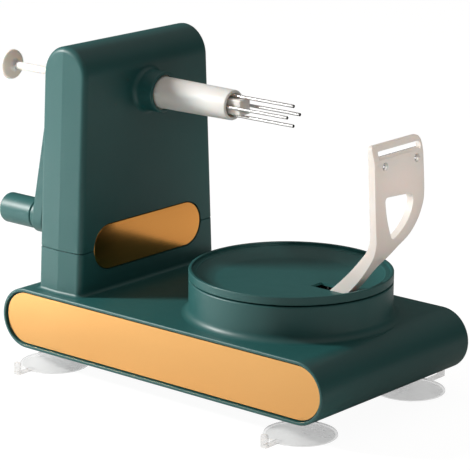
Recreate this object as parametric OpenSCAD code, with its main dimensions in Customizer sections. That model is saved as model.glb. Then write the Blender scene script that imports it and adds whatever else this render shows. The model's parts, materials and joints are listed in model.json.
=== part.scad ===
// Hand cranked fruit peeler: a spindle with tines turns the fruit while a worm and
// three gears swing the peeler arm round it on a turntable.
// Millimetres, +Z up, standing on z = 0, fruit end at +X, crank end at -X.

/* [Base] */
// Length of the base
base_l = 230; // [215:1:260]
// Depth of the base
base_d = 129.4; // [124:0.2:150]
// Height of the base
base_h = 34.6; // [33:0.2:42]
// Wall of the base mouldings
base_wall = 2.6; // [2:0.1:3.2]
// Width of the rim round each end panel
panel_rim = 1.8; // [1:0.1:4]
// Thickness of the end panels
panel_t = 2; // [1:0.1:3]
// Depth of the panel face below the rim
panel_set = 0.6; // [0.2:0.1:1.2]
// Height of the suction feet below the base
foot_h = 11.6; // [10:0.2:16]
// Radius of a suction foot
foot_r = 19.7; // [15:0.1:22]
// Distance of the crank-side feet from the base's end
foot_end = 24; // [20:0.5:30]
// Distance of the turntable-side feet from the base's end
foot_end_far = 27; // [20:0.5:32]
// Distance of the feet from the panel sides of the base
foot_side = 16.7; // [13:0.1:24]
// Reach of a foot's pull tab from the middle of the foot
tab_reach = 30.5; // [26:0.5:34]

/* [Tower] */
// Distance of the tower behind the middle of the base
tower_back = 78.2; // [74:0.2:82]
// Thickness of the tower
tower_t = 32; // [31:0.2:40]
// Width of the tower at its foot
tower_w = 114.2; // [110:0.2:120]
// Width of the tower at its top
tower_top_w = 100.3; // [98:0.1:112]
// Height of the tower above the spindle axis
tower_over = 29.1; // [26:0.1:40]
// Wall of the tower
tower_wall = 3; // [2.6:0.1:3.6]
// Height of the ridge down each narrow side
ridge = 0.8; // [0.2:0.1:2]
// Height of the seam above the base
seam_h = 24.3; // [20:0.1:26]
// Half length of the oval plate
oval_half = 44.6; // [36:0.2:46]
// Height of the oval plate
oval_h = 25.6; // [18:0.2:28]
// Thickness of the oval plate
oval_t = 1.2; // [0.8:0.1:1.4]

/* [Spindle] */
// Height of the spindle axis above the underside of the base
spindle_h = 143.7; // [140:0.1:147]
// Length of the collar on the tower's front
collar_l = 12.3; // [9:0.1:18]
// Radius of the collar
collar_r = 11.5; // [11.2:0.1:14]
// Radius of the fillet at the collar's foot
collar_fillet = 2.6; // [1:0.1:4]
// Radius of the tube at the collar
tube_r = 8.95; // [8.6:0.05:9.2]
// Radius of the tube at its mouth
tube_nose_r = 8.35; // [7.6:0.05:8.6]
// Length of the tube beyond the collar
tube_l = 50.5; // [46:0.5:60]
// Radius of the bore at the tube's mouth
mouth_r = 6.6; // [6.4:0.05:6.9]
// Radius of a tine
tine_r = 0.9; // [0.7:0.05:1.1]
// Distance of the tines from the spindle axis
tine_ring = 5.4; // [4.8:0.1:5.5]
// Length of the tines beyond the tube
tine_l = 41.7; // [38:0.1:48]
// Length of pusher that shows beyond the tube
pusher_out = 7.6; // [6:0.1:12]
// Stroke of the ejector
eject_stroke = 30; // [24:1:32]

/* [Crank] */
// Distance of the grip from the spindle axis
crank_r = 87; // [80:0.5:92]
// Length of the crank hub
hub_l = 28.4; // [24:0.2:34]
// Radius of the crank hub
hub_r = 13; // [12:0.1:16]
// Thickness of the crank arm
crank_t = 9; // [7:0.2:12]
// Distance that the arm stands out at the grip
crank_lean = 17; // [8:0.5:22]
// Radius of the arm's grip end
crank_end_r = 11.6; // [10.5:0.1:13]
// Radius of the grip
grip_r = 9; // [8.5:0.1:10.5]
// Length of the grip
grip_l = 25.2; // [22:0.1:40]
// Radius of the ejector rod
rod_r = 2.25; // [2:0.05:2.6]
// Radius of the ejector knob
knob_r = 8.8; // [7.5:0.1:11]
// Length of the ejector knob
knob_l = 8; // [6:0.2:10]

/* [Turntable] */
// Distance of the turntable ahead of the middle of the base
table_ahead = 41.8; // [40:0.1:44]
// Radius of the drum and the lid
drum_r = 55.66; // [54:0.1:58]
// Height of the drum above the base
drum_h = 20.1; // [19.1:0.1:24]
// Radius of the fillet at the drum's foot
drum_fillet = 4; // [2:0.1:6]
// Height of the lid's rim
lid_rim_h = 4.5; // [4.2:0.1:6]
// Width of the lid's rim
lid_rim_w = 2; // [1.4:0.1:3]
// Thickness of the lid's floor
lid_t = 2.6; // [2.2:0.1:3]
// Radius of the lid's flat floor
lid_floor_r = 41; // [36:0.5:45]

/* [Peeler arm] */
// Distance of the arm's pivot from the turntable axis
pivot_r = 21.9; // [21.5:0.1:23.5]
// Depth of the pivot below the lid's floor
pivot_drop = 15.1; // [14.6:0.1:16]
// Thickness of the stem, in side view
stem_t = 8.85; // [8:0.05:9.2]
// Width of the stem
stem_w = 8.2; // [6:0.1:8.4]
// Angle of the stem from level
stem_lean = 47; // [45:0.5:50]
// Height of the head's top above the pivot
head_up = 96.4; // [92:0.2:100]
// Width of the head
head_w = 44.6; // [40:0.2:48]
// Thickness of the head
head_t = 4.1; // [3.4:0.1:5]
// Length of the blade slot
blade_slot_l = 38; // [30:0.5:38]
// Height of the blade slot
blade_slot_h = 2.8; // [2:0.1:3.2]

/* [Gears] */
// Teeth of the worm wheel
wheel_n = 18; // [18:1:20]
// Teeth of the lay shaft pinion
pinion_n = 24; // [22:1:26]
// Teeth of the idler
idler_n = 42; // [40:1:44]
// Teeth of the turntable gear
table_n = 54; // [52:1:56]
// Face width of the base gears
gear_t = 6; // [4:0.2:8]
// Radius of the lay shaft and the idler pin
shaft_r = 3; // [2.5:0.1:3.4]
// Radius of the turntable axle
axle_r = 4; // [3.4:0.1:4.4]

/* [Fits] */
// Radial clearance of a running fit
run_gap = 0.06; // [0.03:0.01:0.1]
// Radial clearance of a pressed or screwed fit
press_gap = 0.01; // [0.01:0.01:0.03]
// Clearance between moving neighbours
free_gap = 0.4; // [0.3:0.05:0.6]
// Gap at the shells' seams
seam_gap = 0.3; // [0.1:0.05:0.5]

/* [Hidden] */
$fn = 48;

green = "#1f4f4b";
gold = "#dba65c";
white = "#efedea";
steel = "#b9bdc1";
nylon = "#e8e2d2";
cream = "#e6ddd6";
clear = "#dfe4e3";

// Levels
base_top = foot_h + base_h;
base_mid = foot_h + base_h / 2;
cover_top = foot_h + base_wall;
spindle_z = foot_h + spindle_h;
tower_top = spindle_z + tower_over;
tower_h = tower_top - base_top;
seam_z = base_top + seam_h;
drum_top = base_top + drum_h;
lid_z = drum_top + free_gap;
lid_rim_top = lid_z + lid_rim_h;
lid_under = lid_z - lid_t;
pivot_z = lid_z - pivot_drop;

// Places along X: the middle of the whole length is x = 0
rear_collar_l = 5.8;
hub_gap = 0.6;
knob_room = 4.5;
grip_seat = crank_lean / crank_r * crank_end_r + 0.2;
grip_reach = tower_back + tower_t / 2 + rear_collar_l + hub_gap + hub_l
    + crank_lean + grip_seat + free_gap + grip_l;
base_x = (grip_reach - base_l / 2) / 2;
tower_x = base_x - tower_back;
front_x = tower_x + tower_t / 2;
rear_x = tower_x - tower_t / 2;
in_front_x = front_x - tower_wall;
in_rear_x = rear_x + tower_wall;
collar_x = front_x + collar_l;
mouth_x = collar_x + tube_l;
tip_x = mouth_x + tine_l;
rear_collar_x = rear_x - rear_collar_l;
hub_in_x = rear_collar_x - hub_gap;
hub_out_x = hub_in_x - hub_l;
knob_x = hub_out_x - eject_stroke - knob_room;
arm_out_x = hub_out_x - crank_lean;
grip_x = arm_out_x - grip_seat - free_gap;
grip_end_x = grip_x - grip_l;
grip_z = spindle_z - crank_r;
table_x = base_x + table_ahead;
pivot_x = table_x + pivot_r;

// End panels and shell
panel_gap = 0.4;
recess_d = panel_set + panel_t;
cavity_half = base_d / 2 - recess_d - base_wall;
hatch_x = base_l / 2 - base_h / 2 - 0.5;
hatch_y = cavity_half - 2.4;
boss_r = 4;
screw_r = 1.3;
screw_head_r = 2.8;
screw_head_h = 1.8;
boss_y = hatch_y - boss_r - 1.2;
boss_screw_l = 12;
boss_mid_x = base_x + 11;
boss_pitch = base_l * 0.2652;
boss_xs = [boss_mid_x - boss_pitch, boss_mid_x, boss_mid_x + boss_pitch];

// Suction feet
foot_xs = [base_x - base_l / 2 + foot_end, base_x + base_l / 2 - foot_end_far];
foot_y = base_d / 2 - foot_side;
foot_neck_r = 3.5;
foot_hub_r = 7;
foot_head_r = 5.2;
foot_head_h = 3;
tab_w = 4;
tab_t = 1.8;
tab_h = 7.2;
strap_z = 0.6;
strap_t = 1.2;

// Tower
tower_round = tower_t / 2;
oval_gap = 0.3;
oval_set = 0.4;
oval_z = seam_z + 0.6;
lip_h = 3;
lip_t = 1.4;
stay_y = 42;
stay_zs = [seam_z + 14, spindle_z - 6];

// Spindle
bush_wall = 1.25;
bush_flange_t = 1.2;
bush_flange_r = 12;
spindle_r = tube_r - 0.95;
front_flange_x = in_front_x - 2.8;
worm_front_x = front_flange_x - bush_flange_t - free_gap;
worm_rear_x = in_rear_x + bush_flange_t + free_gap;
holder_l = 12;
holder_x = mouth_x - 34.6;
pusher_l = pusher_out + 8.6;
pusher_r = mouth_r - 0.6;
pusher_half = tine_ring - tine_r - 0.2;
spindle_end_x = hub_out_x + 5;

// Worm and worm wheel
wheel_room = 1.1;
worm_add = 0.9;
worm_mod = (tower_t / 2 - tower_wall - wheel_room) / (wheel_n / 2 + worm_add);
worm_r = 12.5;
worm_core_r = worm_r - 1.2 * worm_mod;
worm_tip_r = worm_r + worm_add * worm_mod;
worm_lead = PI * worm_mod;
worm_slack = 0.35;
worm_turns = 3.75;
wheel_r = wheel_n * worm_mod / 2;
wheel_slack = 0.3;
wheel_t = 6;

// Gear train in the base
lay_x = tower_x;
lay_y = worm_r + wheel_r;
gear_z = foot_h + 10.4;
lay_table = norm([table_x - lay_x, lay_y]);
fold = 0.9923;
train_mod = lay_table / fold / (pinion_n / 2 + idler_n + table_n / 2);
pinion_r = pinion_n * train_mod / 2;
idler_r = idler_n * train_mod / 2;
table_gear_r = table_n * train_mod / 2;
train_slack = 0.3;
near = pinion_r + idler_r;
far = idler_r + table_gear_r;
along = (lay_table * lay_table + near * near - far * far) / (2 * lay_table);
aside = sqrt(near * near - along * along);
line = [table_x - lay_x, -lay_y] / lay_table;
idler_xy = [lay_x, lay_y] + along * line - aside * [-line[1], line[0]];
pinion_turn = atan2(idler_xy[1] - lay_y, idler_xy[0] - lay_x);
idler_turn = pinion_turn + 180 + 180 / idler_n;
table_way = atan2(-idler_xy[1], table_x - idler_xy[0]);
idler_steps = (table_way - idler_turn) * idler_n / 360;
table_turn = table_way + 180 + (idler_steps - floor(idler_steps) - 0.5) * 360 / table_n;

// Lay shaft
bracket_t = 3;
bracket_z = spindle_z + 6.2;
bracket_x = in_front_x - 5;
bracket_screws = [[lay_y - 3.3, bracket_z + 8], [lay_y + 10.7, bracket_z + 8]];
lay_bush_r = shaft_r + 2;
lay_flange_r = shaft_r + 3.5;
lay_boss_h = 5.4;
lay_flange_t = 1;
lay_pinion_z = cover_top + lay_boss_h + lay_flange_t + free_gap;
wheel_hub_r = shaft_r + 3;
lay_top = bracket_z + bracket_t + 4;

// Turntable
drum_in_r = drum_r - base_wall;
spigot_r = drum_in_r - free_gap - 0.3;
lid_boss_r = 12.5;
lid_boss_z = lid_under - 5;
table_flange_t = 3;
table_hub_r = axle_r + 2.5;
table_screw_ring = 9.3;
pocket_h = 4;
pocket_r = 8;
table_boss_z = gear_z - 1.5;
axle_bottom = foot_h + pocket_h - free_gap;
slot_in = pivot_r - 1.2;
slot_out = pivot_r + 23.4;
slot_w = stem_w + 0.8;

// Peeler arm, in side view from its pivot: along X and Z
head_back = 4.3;
eye_r = 6.5;
pin_r = 2;
elbow_out = [39.4, 39.6];
elbow_in = [35.1, 42];
stem_out = [28.4, 23.5];
stem_in = [20.6, 25.4];
bar_h = 8;
bar_top_t = 2.2;
head_x = pivot_x + elbow_out[0] + 5;
head_y = -stem_w / 2;
head_far = head_y + head_w;
head_top = pivot_z + head_up;
blade_z = head_top - 4.6;
hole_z = head_top - 12;
hole_ys = [head_y + 9.3, head_far - 7.4];
hole_r = 2;
slot_y = head_y + head_w / 2 + 0.5;
blade_t = 0.8;
blade_lift = 0.05;
pad_h = 3;
bracket_bar_t = 3;
lug_in = slot_w / 2 + 0.2;
lug_t = 3;
arm_flange_z = lid_under - pad_h - bracket_bar_t;
arm_bracket_y = 16;
arm_bracket_in = pivot_r - 8.8;
arm_screw_xs = [pivot_r - 6, pivot_r + 6.4];
arm_screw_y = 12;
pin_long = 15;
spring_r = 3.3;
spring_wire = 0.5;
spring_turns = 4;

// Placing
module along_x(x, y = 0, z = 0) {
    translate([x, y, z]) rotate([0, 90, 0]) children();
}

module extrude_y(y0, y1) {
    translate([0, y1, 0]) rotate([90, 0, 0]) linear_extrude(y1 - y0) children();
}

module extrude_x(x0, x1) {
    translate([x0, 0, 0]) rotate([90, 0, 90]) linear_extrude(x1 - x0) children();
}

// A pill outline, l long and h high, about the origin
module pill(l, h) {
    square([l - h, h], center = true);
    for (side = [-1, 1]) translate([side * (l - h) / 2, 0]) circle(h / 2);
}

// A tube round Z
module ring(r_out, r_in, h) {
    difference() {
        cylinder(r = r_out, h = h);
        translate([0, 0, -1]) cylinder(r = r_in, h = h + 2);
    }
}

// A screw with its head's underside at z = 0, its shank going up, and a cross recess
module screw(shank_r, shank_l, head_r, head_h) {
    difference() {
        union() {
            translate([0, 0, -head_h]) cylinder(r = head_r, h = head_h);
            cylinder(r = shank_r, h = shank_l);
        }
        for (turn = [0, 90]) rotate(turn)
            translate([-head_r * 0.6, -head_r * 0.12, -head_h - 1])
                cube([head_r * 1.2, head_r * 0.24, head_h * 0.6 + 1]);
    }
}

// Outline helpers
function unit(v) = v / norm(v);
function polar(r, a) = [r * cos(a), r * sin(a)];

// One corner of an outline, rounded by a curve that starts d before it
function corner(a, v, b, d) =
    d == 0 ? [v] : [for (i = [0:5]) let(t = i / 5, p = v + d * unit(a - v), q = v + d * unit(b - v))
        (1 - t) * (1 - t) * p + 2 * t * (1 - t) * v + t * t * q];
function soften(points, ds) = [for (i = [0:len(points) - 1])
    each corner(points[(i + len(points) - 1) % len(points)], points[i],
        points[(i + 1) % len(points)], ds[i])];

// Involute gear outline with a tooth on +X
function involute(r, base) = let(c = acos(min(1, base / r))) tan(c) * 180 / PI - c;
function gear_outline(teeth, mod, add, slack) =
    let(pitch = teeth * mod / 2, base = pitch * cos(20), root = pitch - 1.25 * mod,
        tip = pitch + add * mod, start = max(root, base),
        half = 90 / teeth - slack * 45 / (PI * pitch) + involute(pitch, base),
        radii = [for (i = [0:3]) start + (tip - start) * i / 3])
    [for (tooth = [0:teeth - 1]) let(mid = tooth * 360 / teeth) each concat(
        root < base ? [polar(root, mid - half)] : [],
        [for (r = radii) polar(r, mid - half + involute(r, base))],
        [for (i = [3:-1:0]) polar(radii[i], mid + half - involute(radii[i], base))],
        root < base ? [polar(root, mid + half)] : [])];

// Faces of a tube swept through rings of points
function sweep_faces(rings, sides) = concat(
    [[for (j = [0:sides - 1]) j]],
    [for (i = [0:rings - 2], j = [0:sides - 1]) let(k = (j + 1) % sides) each [
        [i * sides + j, (i + 1) * sides + j, (i + 1) * sides + k],
        [i * sides + j, (i + 1) * sides + k, i * sides + k]]],
    [[for (j = [sides - 1:-1:0]) (rings - 1) * sides + j]]);

// Base
module base_pill(inset) {
    translate([base_x, base_mid]) pill(base_l - 2 * inset, base_h - 2 * inset);
}

// A fillet round the foot of a cylinder
module foot_fillet(r, fillet) {
    rotate_extrude() difference() {
        square([r + fillet, fillet]);
        translate([r + fillet, fillet]) circle(fillet);
    }
}

module base_shell() color(green) difference() {
    union() {
        difference() {
            union() {
                extrude_y(-base_d / 2, base_d / 2) base_pill(0);
                translate([table_x, 0, base_top]) {
                    translate([0, 0, -1]) cylinder(r = drum_r, h = drum_h + 1);
                    foot_fillet(drum_r, drum_fillet);
                }
                tower_between(0, base_top - 1, seam_z);
            }
            extrude_y(-cavity_half, cavity_half) base_pill(base_wall);
            for (side = [-1, 1]) let(face = side * base_d / 2)
                extrude_y(min(face - side * recess_d, face + side), max(face - side * recess_d, face + side))
                    base_pill(panel_rim);
            translate([table_x, 0, base_mid]) cylinder(r = drum_in_r, h = base_h + drum_h);
            tower_between(tower_wall, base_mid, seam_z + 1);
            oval_pocket();
        }
        for (x = boss_xs, side = [-1, 1]) translate([x, side * boss_y, cover_top])
            cylinder(r = boss_r, h = base_h - 1.5 * base_wall);
    }
    translate([base_x - hatch_x, -hatch_y, foot_h - 1]) cube([2 * hatch_x, 2 * hatch_y, base_wall + 1]);
    for (x = boss_xs, side = [-1, 1]) translate([x, side * boss_y, cover_top - 1])
        cylinder(r = screw_r + press_gap, h = boss_screw_l + 2);
}

module bottom_cover() color(green) difference() {
    union() {
        translate([base_x - hatch_x + seam_gap, -hatch_y + seam_gap, foot_h])
            cube([2 * (hatch_x - seam_gap), 2 * (hatch_y - seam_gap), base_wall]);
        translate([lay_x, lay_y, foot_h]) cylinder(r = lay_bush_r + 2.5, h = base_wall + lay_boss_h);
        translate([idler_xy[0], idler_xy[1], foot_h])
            cylinder(r = shaft_r + 3, h = gear_z - foot_h - 1.4);
        translate([table_x, 0, foot_h]) cylinder(r = pocket_r + 3, h = table_boss_z - foot_h);
    }
    translate([lay_x, lay_y, cover_top]) cylinder(r = lay_bush_r + press_gap, h = lay_boss_h + 1);
    translate([idler_xy[0], idler_xy[1], foot_h + 1.4]) cylinder(r = shaft_r + press_gap, h = gear_z);
    translate([table_x, 0, foot_h - 1]) cylinder(r = pocket_r, h = pocket_h + 1);
    translate([table_x, 0, foot_h]) cylinder(r = axle_r + 2 + press_gap, h = base_h);
    for (x = boss_xs, side = [-1, 1]) translate([x, side * boss_y, foot_h - 1]) {
        cylinder(r = screw_r + seam_gap, h = base_wall + 2);
        cylinder(r = screw_head_r + seam_gap, h = screw_head_h + 1.2);
    }
    for (x = foot_xs, side = [-1, 1]) translate([x, side * foot_y, foot_h - 1])
        cylinder(r = foot_neck_r + press_gap, h = base_wall + 2);
}

module bottom_screws() color(steel)
    for (x = boss_xs, side = [-1, 1]) translate([x, side * boss_y, foot_h + screw_head_h + 0.2])
        screw(screw_r, boss_screw_l, screw_head_r, screw_head_h);

module end_panel(side) color(gold) {
    y = side * (base_d / 2 - panel_set - panel_t / 2);
    extrude_y(y - panel_t / 2, y + panel_t / 2) base_pill(panel_rim + panel_gap);
}

module front_panel() end_panel(-1);
module rear_panel() end_panel(1);

// Suction foot with its pull tab pointing out across the base
module foot(x, side) color(clear) {
    dome = [for (t = [0:0.1:1]) [foot_hub_r + (foot_r - 0.5 - foot_hub_r) * t,
        1.1 + (foot_h - 3.5) * (1 - t) * (1 - t)]];
    hollow = [for (t = [0:0.1:1]) [(foot_r - 1.4) * (1 - t), 2.8 * (1 - (1 - t) * (1 - t))]];
    translate([x, side * foot_y, 0]) {
        rotate_extrude() polygon(concat(
            [[0, cover_top + foot_head_h], [foot_head_r, cover_top + foot_head_h],
            [foot_head_r, cover_top], [foot_neck_r, cover_top], [foot_neck_r, foot_h],
            [foot_hub_r, foot_h]], dome, [[foot_r, 0.6], [foot_r, 0]], hollow));
        rotate(side * 90) translate([0, -tab_w / 2, strap_z]) {
            translate([foot_r - 2, 0, 0]) cube([tab_reach - foot_r + 1, tab_w, strap_t]);
            translate([tab_reach - tab_t, 0, 0]) cube([tab_t, tab_w, tab_h]);
        }
    }
}

module foot_front_left() foot(foot_xs[0], -1);
module foot_front_right() foot(foot_xs[1], -1);
module foot_rear_left() foot(foot_xs[0], 1);
module foot_rear_right() foot(foot_xs[1], 1);

// Tower
function tower_half(z) = tower_w / 2 + (tower_top_w - tower_w) / 2 * (z - base_top) / tower_h;

// The tapered wedge, ridged down the middle of both narrow sides
module tower_wedge(inset, z0, z1) {
    edge = tower_t / 2 + 2;
    drop = ridge * edge / (tower_t / 2);
    points = [for (z = [z0, z1]) let(w = tower_half(z) + ridge - inset) each [
        [tower_x - edge, drop - w, z], [tower_x, -w, z], [tower_x + edge, drop - w, z],
        [tower_x + edge, w - drop, z], [tower_x, w, z], [tower_x - edge, w - drop, z]]];
    polyhedron(points, concat([[0, 1, 2, 3, 4, 5], [11, 10, 9, 8, 7, 6]],
        [for (i = [0:5]) [i, i + 6, (i + 1) % 6 + 6, (i + 1) % 6]]));
}

// The tower's form, inset all over, between two levels
module tower_between(inset, z0, z1) {
    round_z = tower_top - tower_round;
    intersection() {
        extrude_y(-tower_w, tower_w) translate([tower_x, 0]) {
            translate([-tower_round + inset, z0]) square([2 * (tower_round - inset), round_z - z0]);
            translate([0, round_z]) circle(tower_round - inset);
        }
        tower_wedge(inset, z0, z1);
    }
}

module oval_pocket() {
    extrude_x(front_x - oval_t - oval_set, front_x + 1)
        translate([0, oval_z]) pill(2 * (oval_half + oval_gap), oval_h + 2 * oval_gap);
}

module oval_plate() color(gold)
    extrude_x(front_x - oval_t - oval_set, front_x - oval_set)
        translate([0, oval_z]) pill(2 * oval_half, oval_h);

// One cover's shell: side is 1 for the front half and -1 for the rear half
module cover_shell(side) {
    x0 = side > 0 ? tower_x : tower_x - tower_t;
    intersection() {
        difference() {
            union() {
                tower_between(0, seam_z + seam_gap, tower_top + 1);
                tower_between(tower_wall + press_gap, seam_z - lip_h, seam_z + 4);
            }
            tower_between(tower_wall, seam_z + 3, tower_top - tower_wall + 1);
            tower_between(tower_wall + lip_t, seam_z - lip_h - 1, seam_z + 4);
        }
        translate([x0, -tower_w, 0]) cube([tower_t, 2 * tower_w, 2 * tower_top]);
    }
}

module stays() {
    for (side = [-1, 1], z = stay_zs) translate([0, side * stay_y, z]) children();
}

module tower_front_cover() color(green) difference() {
    union() {
        cover_shell(1);
        stays() along_x(tower_x) cylinder(r = boss_r, h = tower_t / 2 - 1);
        along_x(front_x - 1, 0, spindle_z) cylinder(r = collar_r, h = collar_l + 1);
        along_x(front_x, 0, spindle_z) foot_fillet(collar_r, collar_fillet);
        along_x(front_flange_x, 0, spindle_z)
            cylinder(r = bush_flange_r, h = in_front_x - front_flange_x + 1);
        for (at = bracket_screws) along_x(bracket_x, at[0], at[1])
            cylinder(r = boss_r, h = in_front_x - bracket_x + 1);
    }
    along_x(front_flange_x - 1, 0, spindle_z)
        cylinder(r = tube_r + bush_wall + press_gap, h = collar_x - 2 - front_flange_x + 1);
    along_x(front_x, 0, spindle_z) cylinder(r = tube_r + free_gap, h = collar_l + 1);
    stays() along_x(tower_x - 1) cylinder(r = screw_r + press_gap, h = 10);
    for (at = bracket_screws) along_x(bracket_x - 1, at[0], at[1]) cylinder(r = screw_r + press_gap, h = 6);
    oval_pocket();
}

module tower_rear_cover() color(green) difference() {
    union() {
        cover_shell(-1);
        stays() along_x(rear_x + 1) cylinder(r = boss_r, h = tower_t / 2 - 1);
        along_x(rear_collar_x, 0, spindle_z) cylinder(r = collar_r, h = rear_collar_l + 1);
    }
    along_x(rear_collar_x - 1, 0, spindle_z)
        cylinder(r = spindle_r + bush_wall + press_gap, h = rear_collar_l + tower_wall + 2);
    stays() along_x(rear_x - 1) {
        cylinder(r = screw_r + seam_gap, h = tower_t);
        cylinder(r = screw_head_r + seam_gap, h = 3.2 + screw_head_h);
    }
}

module tower_screws() color(steel)
    stays() along_x(rear_x + 2.2 + screw_head_h) screw(screw_r, tower_t / 2 + 4, screw_head_r, screw_head_h);

// Bushes
module front_bush() color(nylon) along_x(front_flange_x, 0, spindle_z) {
    difference() {
        union() {
            cylinder(r = tube_r + bush_wall, h = collar_x - 2 - front_flange_x);
            translate([0, 0, -bush_flange_t]) cylinder(r = bush_flange_r, h = bush_flange_t);
        }
        translate([0, 0, -bush_flange_t - 1])
            cylinder(r = tube_r + run_gap, h = collar_x - front_flange_x + bush_flange_t);
    }
}

module rear_bush() color(nylon) along_x(rear_collar_x, 0, spindle_z) {
    difference() {
        union() {
            cylinder(r = spindle_r + bush_wall, h = rear_collar_l + tower_wall);
            translate([0, 0, rear_collar_l + tower_wall]) cylinder(r = bush_flange_r, h = bush_flange_t);
        }
        translate([0, 0, -1])
            cylinder(r = spindle_r + run_gap, h = rear_collar_l + tower_wall + bush_flange_t + 2);
    }
}

module shaft_bracket() color(steel) difference() {
    union() {
        translate([lay_x - 8, lay_y - 8, bracket_z]) cube([bracket_x - lay_x + 8, 22, bracket_t]);
        translate([bracket_x - bracket_t, lay_y - 8, bracket_z]) cube([bracket_t, 22, 12]);
    }
    translate([lay_x, lay_y, bracket_z - 1]) cylinder(r = lay_bush_r + press_gap, h = bracket_t + 2);
    for (at = bracket_screws) along_x(bracket_x - bracket_t - 1, at[0], at[1])
        cylinder(r = screw_r + seam_gap, h = bracket_t + 2);
}

module bracket_screws() color(steel)
    for (at = bracket_screws) along_x(bracket_x - bracket_t, at[0], at[1])
        screw(screw_r, bracket_t + 4, screw_head_r, screw_head_h);

module flanged_bush(h, flange_z) color(nylon) difference() {
    union() {
        cylinder(r = lay_bush_r, h = h);
        translate([0, 0, flange_z]) cylinder(r = lay_flange_r, h = lay_flange_t);
    }
    translate([0, 0, -lay_flange_t - 1]) cylinder(r = shaft_r + run_gap, h = h + 2 * lay_flange_t + 2);
}

module upper_bush() translate([lay_x, lay_y, bracket_z]) flanged_bush(bracket_t, -lay_flange_t);
module lower_bush() translate([lay_x, lay_y, cover_top]) flanged_bush(lay_boss_h, lay_boss_h);

module idler_pin() color(steel)
    translate([idler_xy[0], idler_xy[1], foot_h + 1.4])
        cylinder(r = shaft_r, h = gear_z + gear_t + 3.4 - foot_h - 1.4);

module idler_clip() color(steel)
    translate([idler_xy[0], idler_xy[1], gear_z + gear_t + 1 + free_gap])
        ring(shaft_r + 2, shaft_r + press_gap, 0.8);

module turntable_bush() color(nylon) translate([table_x, 0, foot_h + pocket_h]) difference() {
    union() {
        cylinder(r = axle_r + 2, h = table_boss_z - foot_h - pocket_h);
        translate([0, 0, table_boss_z - foot_h - pocket_h]) cylinder(r = axle_r + 4, h = lay_flange_t);
    }
    translate([0, 0, -1]) cylinder(r = axle_r + run_gap, h = base_h);
}

// Spindle
module spindle_tube() color(white) along_x(0, 0, spindle_z) rotate_extrude() polygon([
    [rod_r + run_gap, spindle_end_x], [spindle_r, spindle_end_x], [spindle_r, worm_front_x],
    [tube_r, worm_front_x], [tube_r, collar_x], [tube_nose_r, mouth_x - 0.6], [tube_nose_r - 0.6, mouth_x],
    [mouth_r, mouth_x], [mouth_r, holder_x], [rod_r + run_gap, holder_x]]);

module tine_places() {
    for (turn = [0:90:270]) rotate(turn) translate([tine_ring, 0, 0]) children();
}

module tine_holder() color(white) along_x(holder_x, 0, spindle_z) difference() {
    cylinder(r = mouth_r - press_gap, h = holder_l);
    translate([0, 0, -1]) cylinder(r = rod_r + run_gap, h = holder_l + 2);
    tine_places() translate([0, 0, -1]) cylinder(r = tine_r + press_gap, h = holder_l + 2);
}

module tines() color(steel) along_x(holder_x, 0, spindle_z) {
    length = tip_x - holder_x;
    chamfer = 0.25;
    tine_places() {
        cylinder(r = tine_r, h = length - chamfer);
        translate([0, 0, length - chamfer]) cylinder(r1 = tine_r, r2 = tine_r - chamfer, h = chamfer);
    }
}

module worm() color(steel) difference() {
    half_pitch = (worm_lead / 2 - worm_slack) / 2;
    flank = tan(20);
    seat_r = worm_core_r - 0.4;
    seat_half = half_pitch + (worm_r - seat_r) * flank;
    tip_half = half_pitch - (worm_tip_r - worm_r) * flank;
    section = [[seat_r, seat_half], [worm_tip_r, tip_half], [worm_tip_r, -tip_half], [seat_r, -seat_half]];
    steps = round(worm_turns * 16);
    points = [for (i = [0:steps]) let(a = (i - steps / 2) * 22.5) for (p = section)
        [tower_x + worm_lead * a / 360 + p[1], p[0] * cos(a), spindle_z + p[0] * sin(a)]];
    union() {
        along_x(worm_rear_x, 0, spindle_z) cylinder(r = worm_core_r, h = worm_front_x - worm_rear_x);
        polyhedron(points, sweep_faces(steps + 1, 4));
    }
    along_x(worm_rear_x - 1, 0, spindle_z)
        cylinder(r = spindle_r + press_gap, h = worm_front_x - worm_rear_x + 2);
}

// Crank
module crank_outline() {
    translate([0, (spindle_z + grip_z) / 2]) rotate(90) pill(crank_r + 2 * crank_end_r, 2 * crank_end_r);
}

module crank_side() {
    rise = hub_r + 1;
    fall = crank_r + crank_end_r + 1;
    slope = crank_lean / crank_r;
    polygon([[hub_out_x + slope * rise, spindle_z + rise],
        [hub_out_x + crank_t + slope * rise, spindle_z + rise],
        [hub_out_x + crank_t - slope * fall, spindle_z - fall],
        [hub_out_x - slope * fall, spindle_z - fall]]);
}

module crank_arm() color(green) difference() {
    union() {
        intersection() {
            extrude_y(-2 * hub_r, 2 * hub_r) crank_side();
            extrude_x(grip_end_x, hub_in_x) crank_outline();
        }
        along_x(hub_out_x, 0, spindle_z) cylinder(r = hub_r, h = hub_l);
        along_x(arm_out_x - grip_seat, 0, grip_z) cylinder(r = grip_r, h = crank_t);
    }
    along_x(spindle_end_x, 0, spindle_z) cylinder(r = spindle_r + press_gap, h = hub_l);
    along_x(grip_end_x, 0, spindle_z) cylinder(r = rod_r + free_gap, h = -grip_end_x + hub_in_x);
    along_x(arm_out_x - grip_seat - 1, 0, grip_z)
        cylinder(r = shaft_r + press_gap, h = crank_t + grip_seat - 1);
    translate([hub_in_x - 9, 0, spindle_z]) cylinder(r = 2 + press_gap, h = hub_r + 1);
}

module crank_screw() color(steel) translate([hub_in_x - 9, 0, spindle_z + spindle_r + press_gap])
    difference() {
        cylinder(r = 2, h = hub_r - spindle_r - 0.8);
        translate([0, 0, hub_r - spindle_r - 2.4]) cylinder(r = 1, h = 3, $fn = 6);
    }

module grip_pin() color(steel) along_x(grip_end_x + 2.6, 0, grip_z) {
    cylinder(r = shaft_r + 2.4, h = 2);
    cylinder(r = shaft_r, h = grip_l + grip_seat + free_gap + crank_t - 4.6);
}

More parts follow.
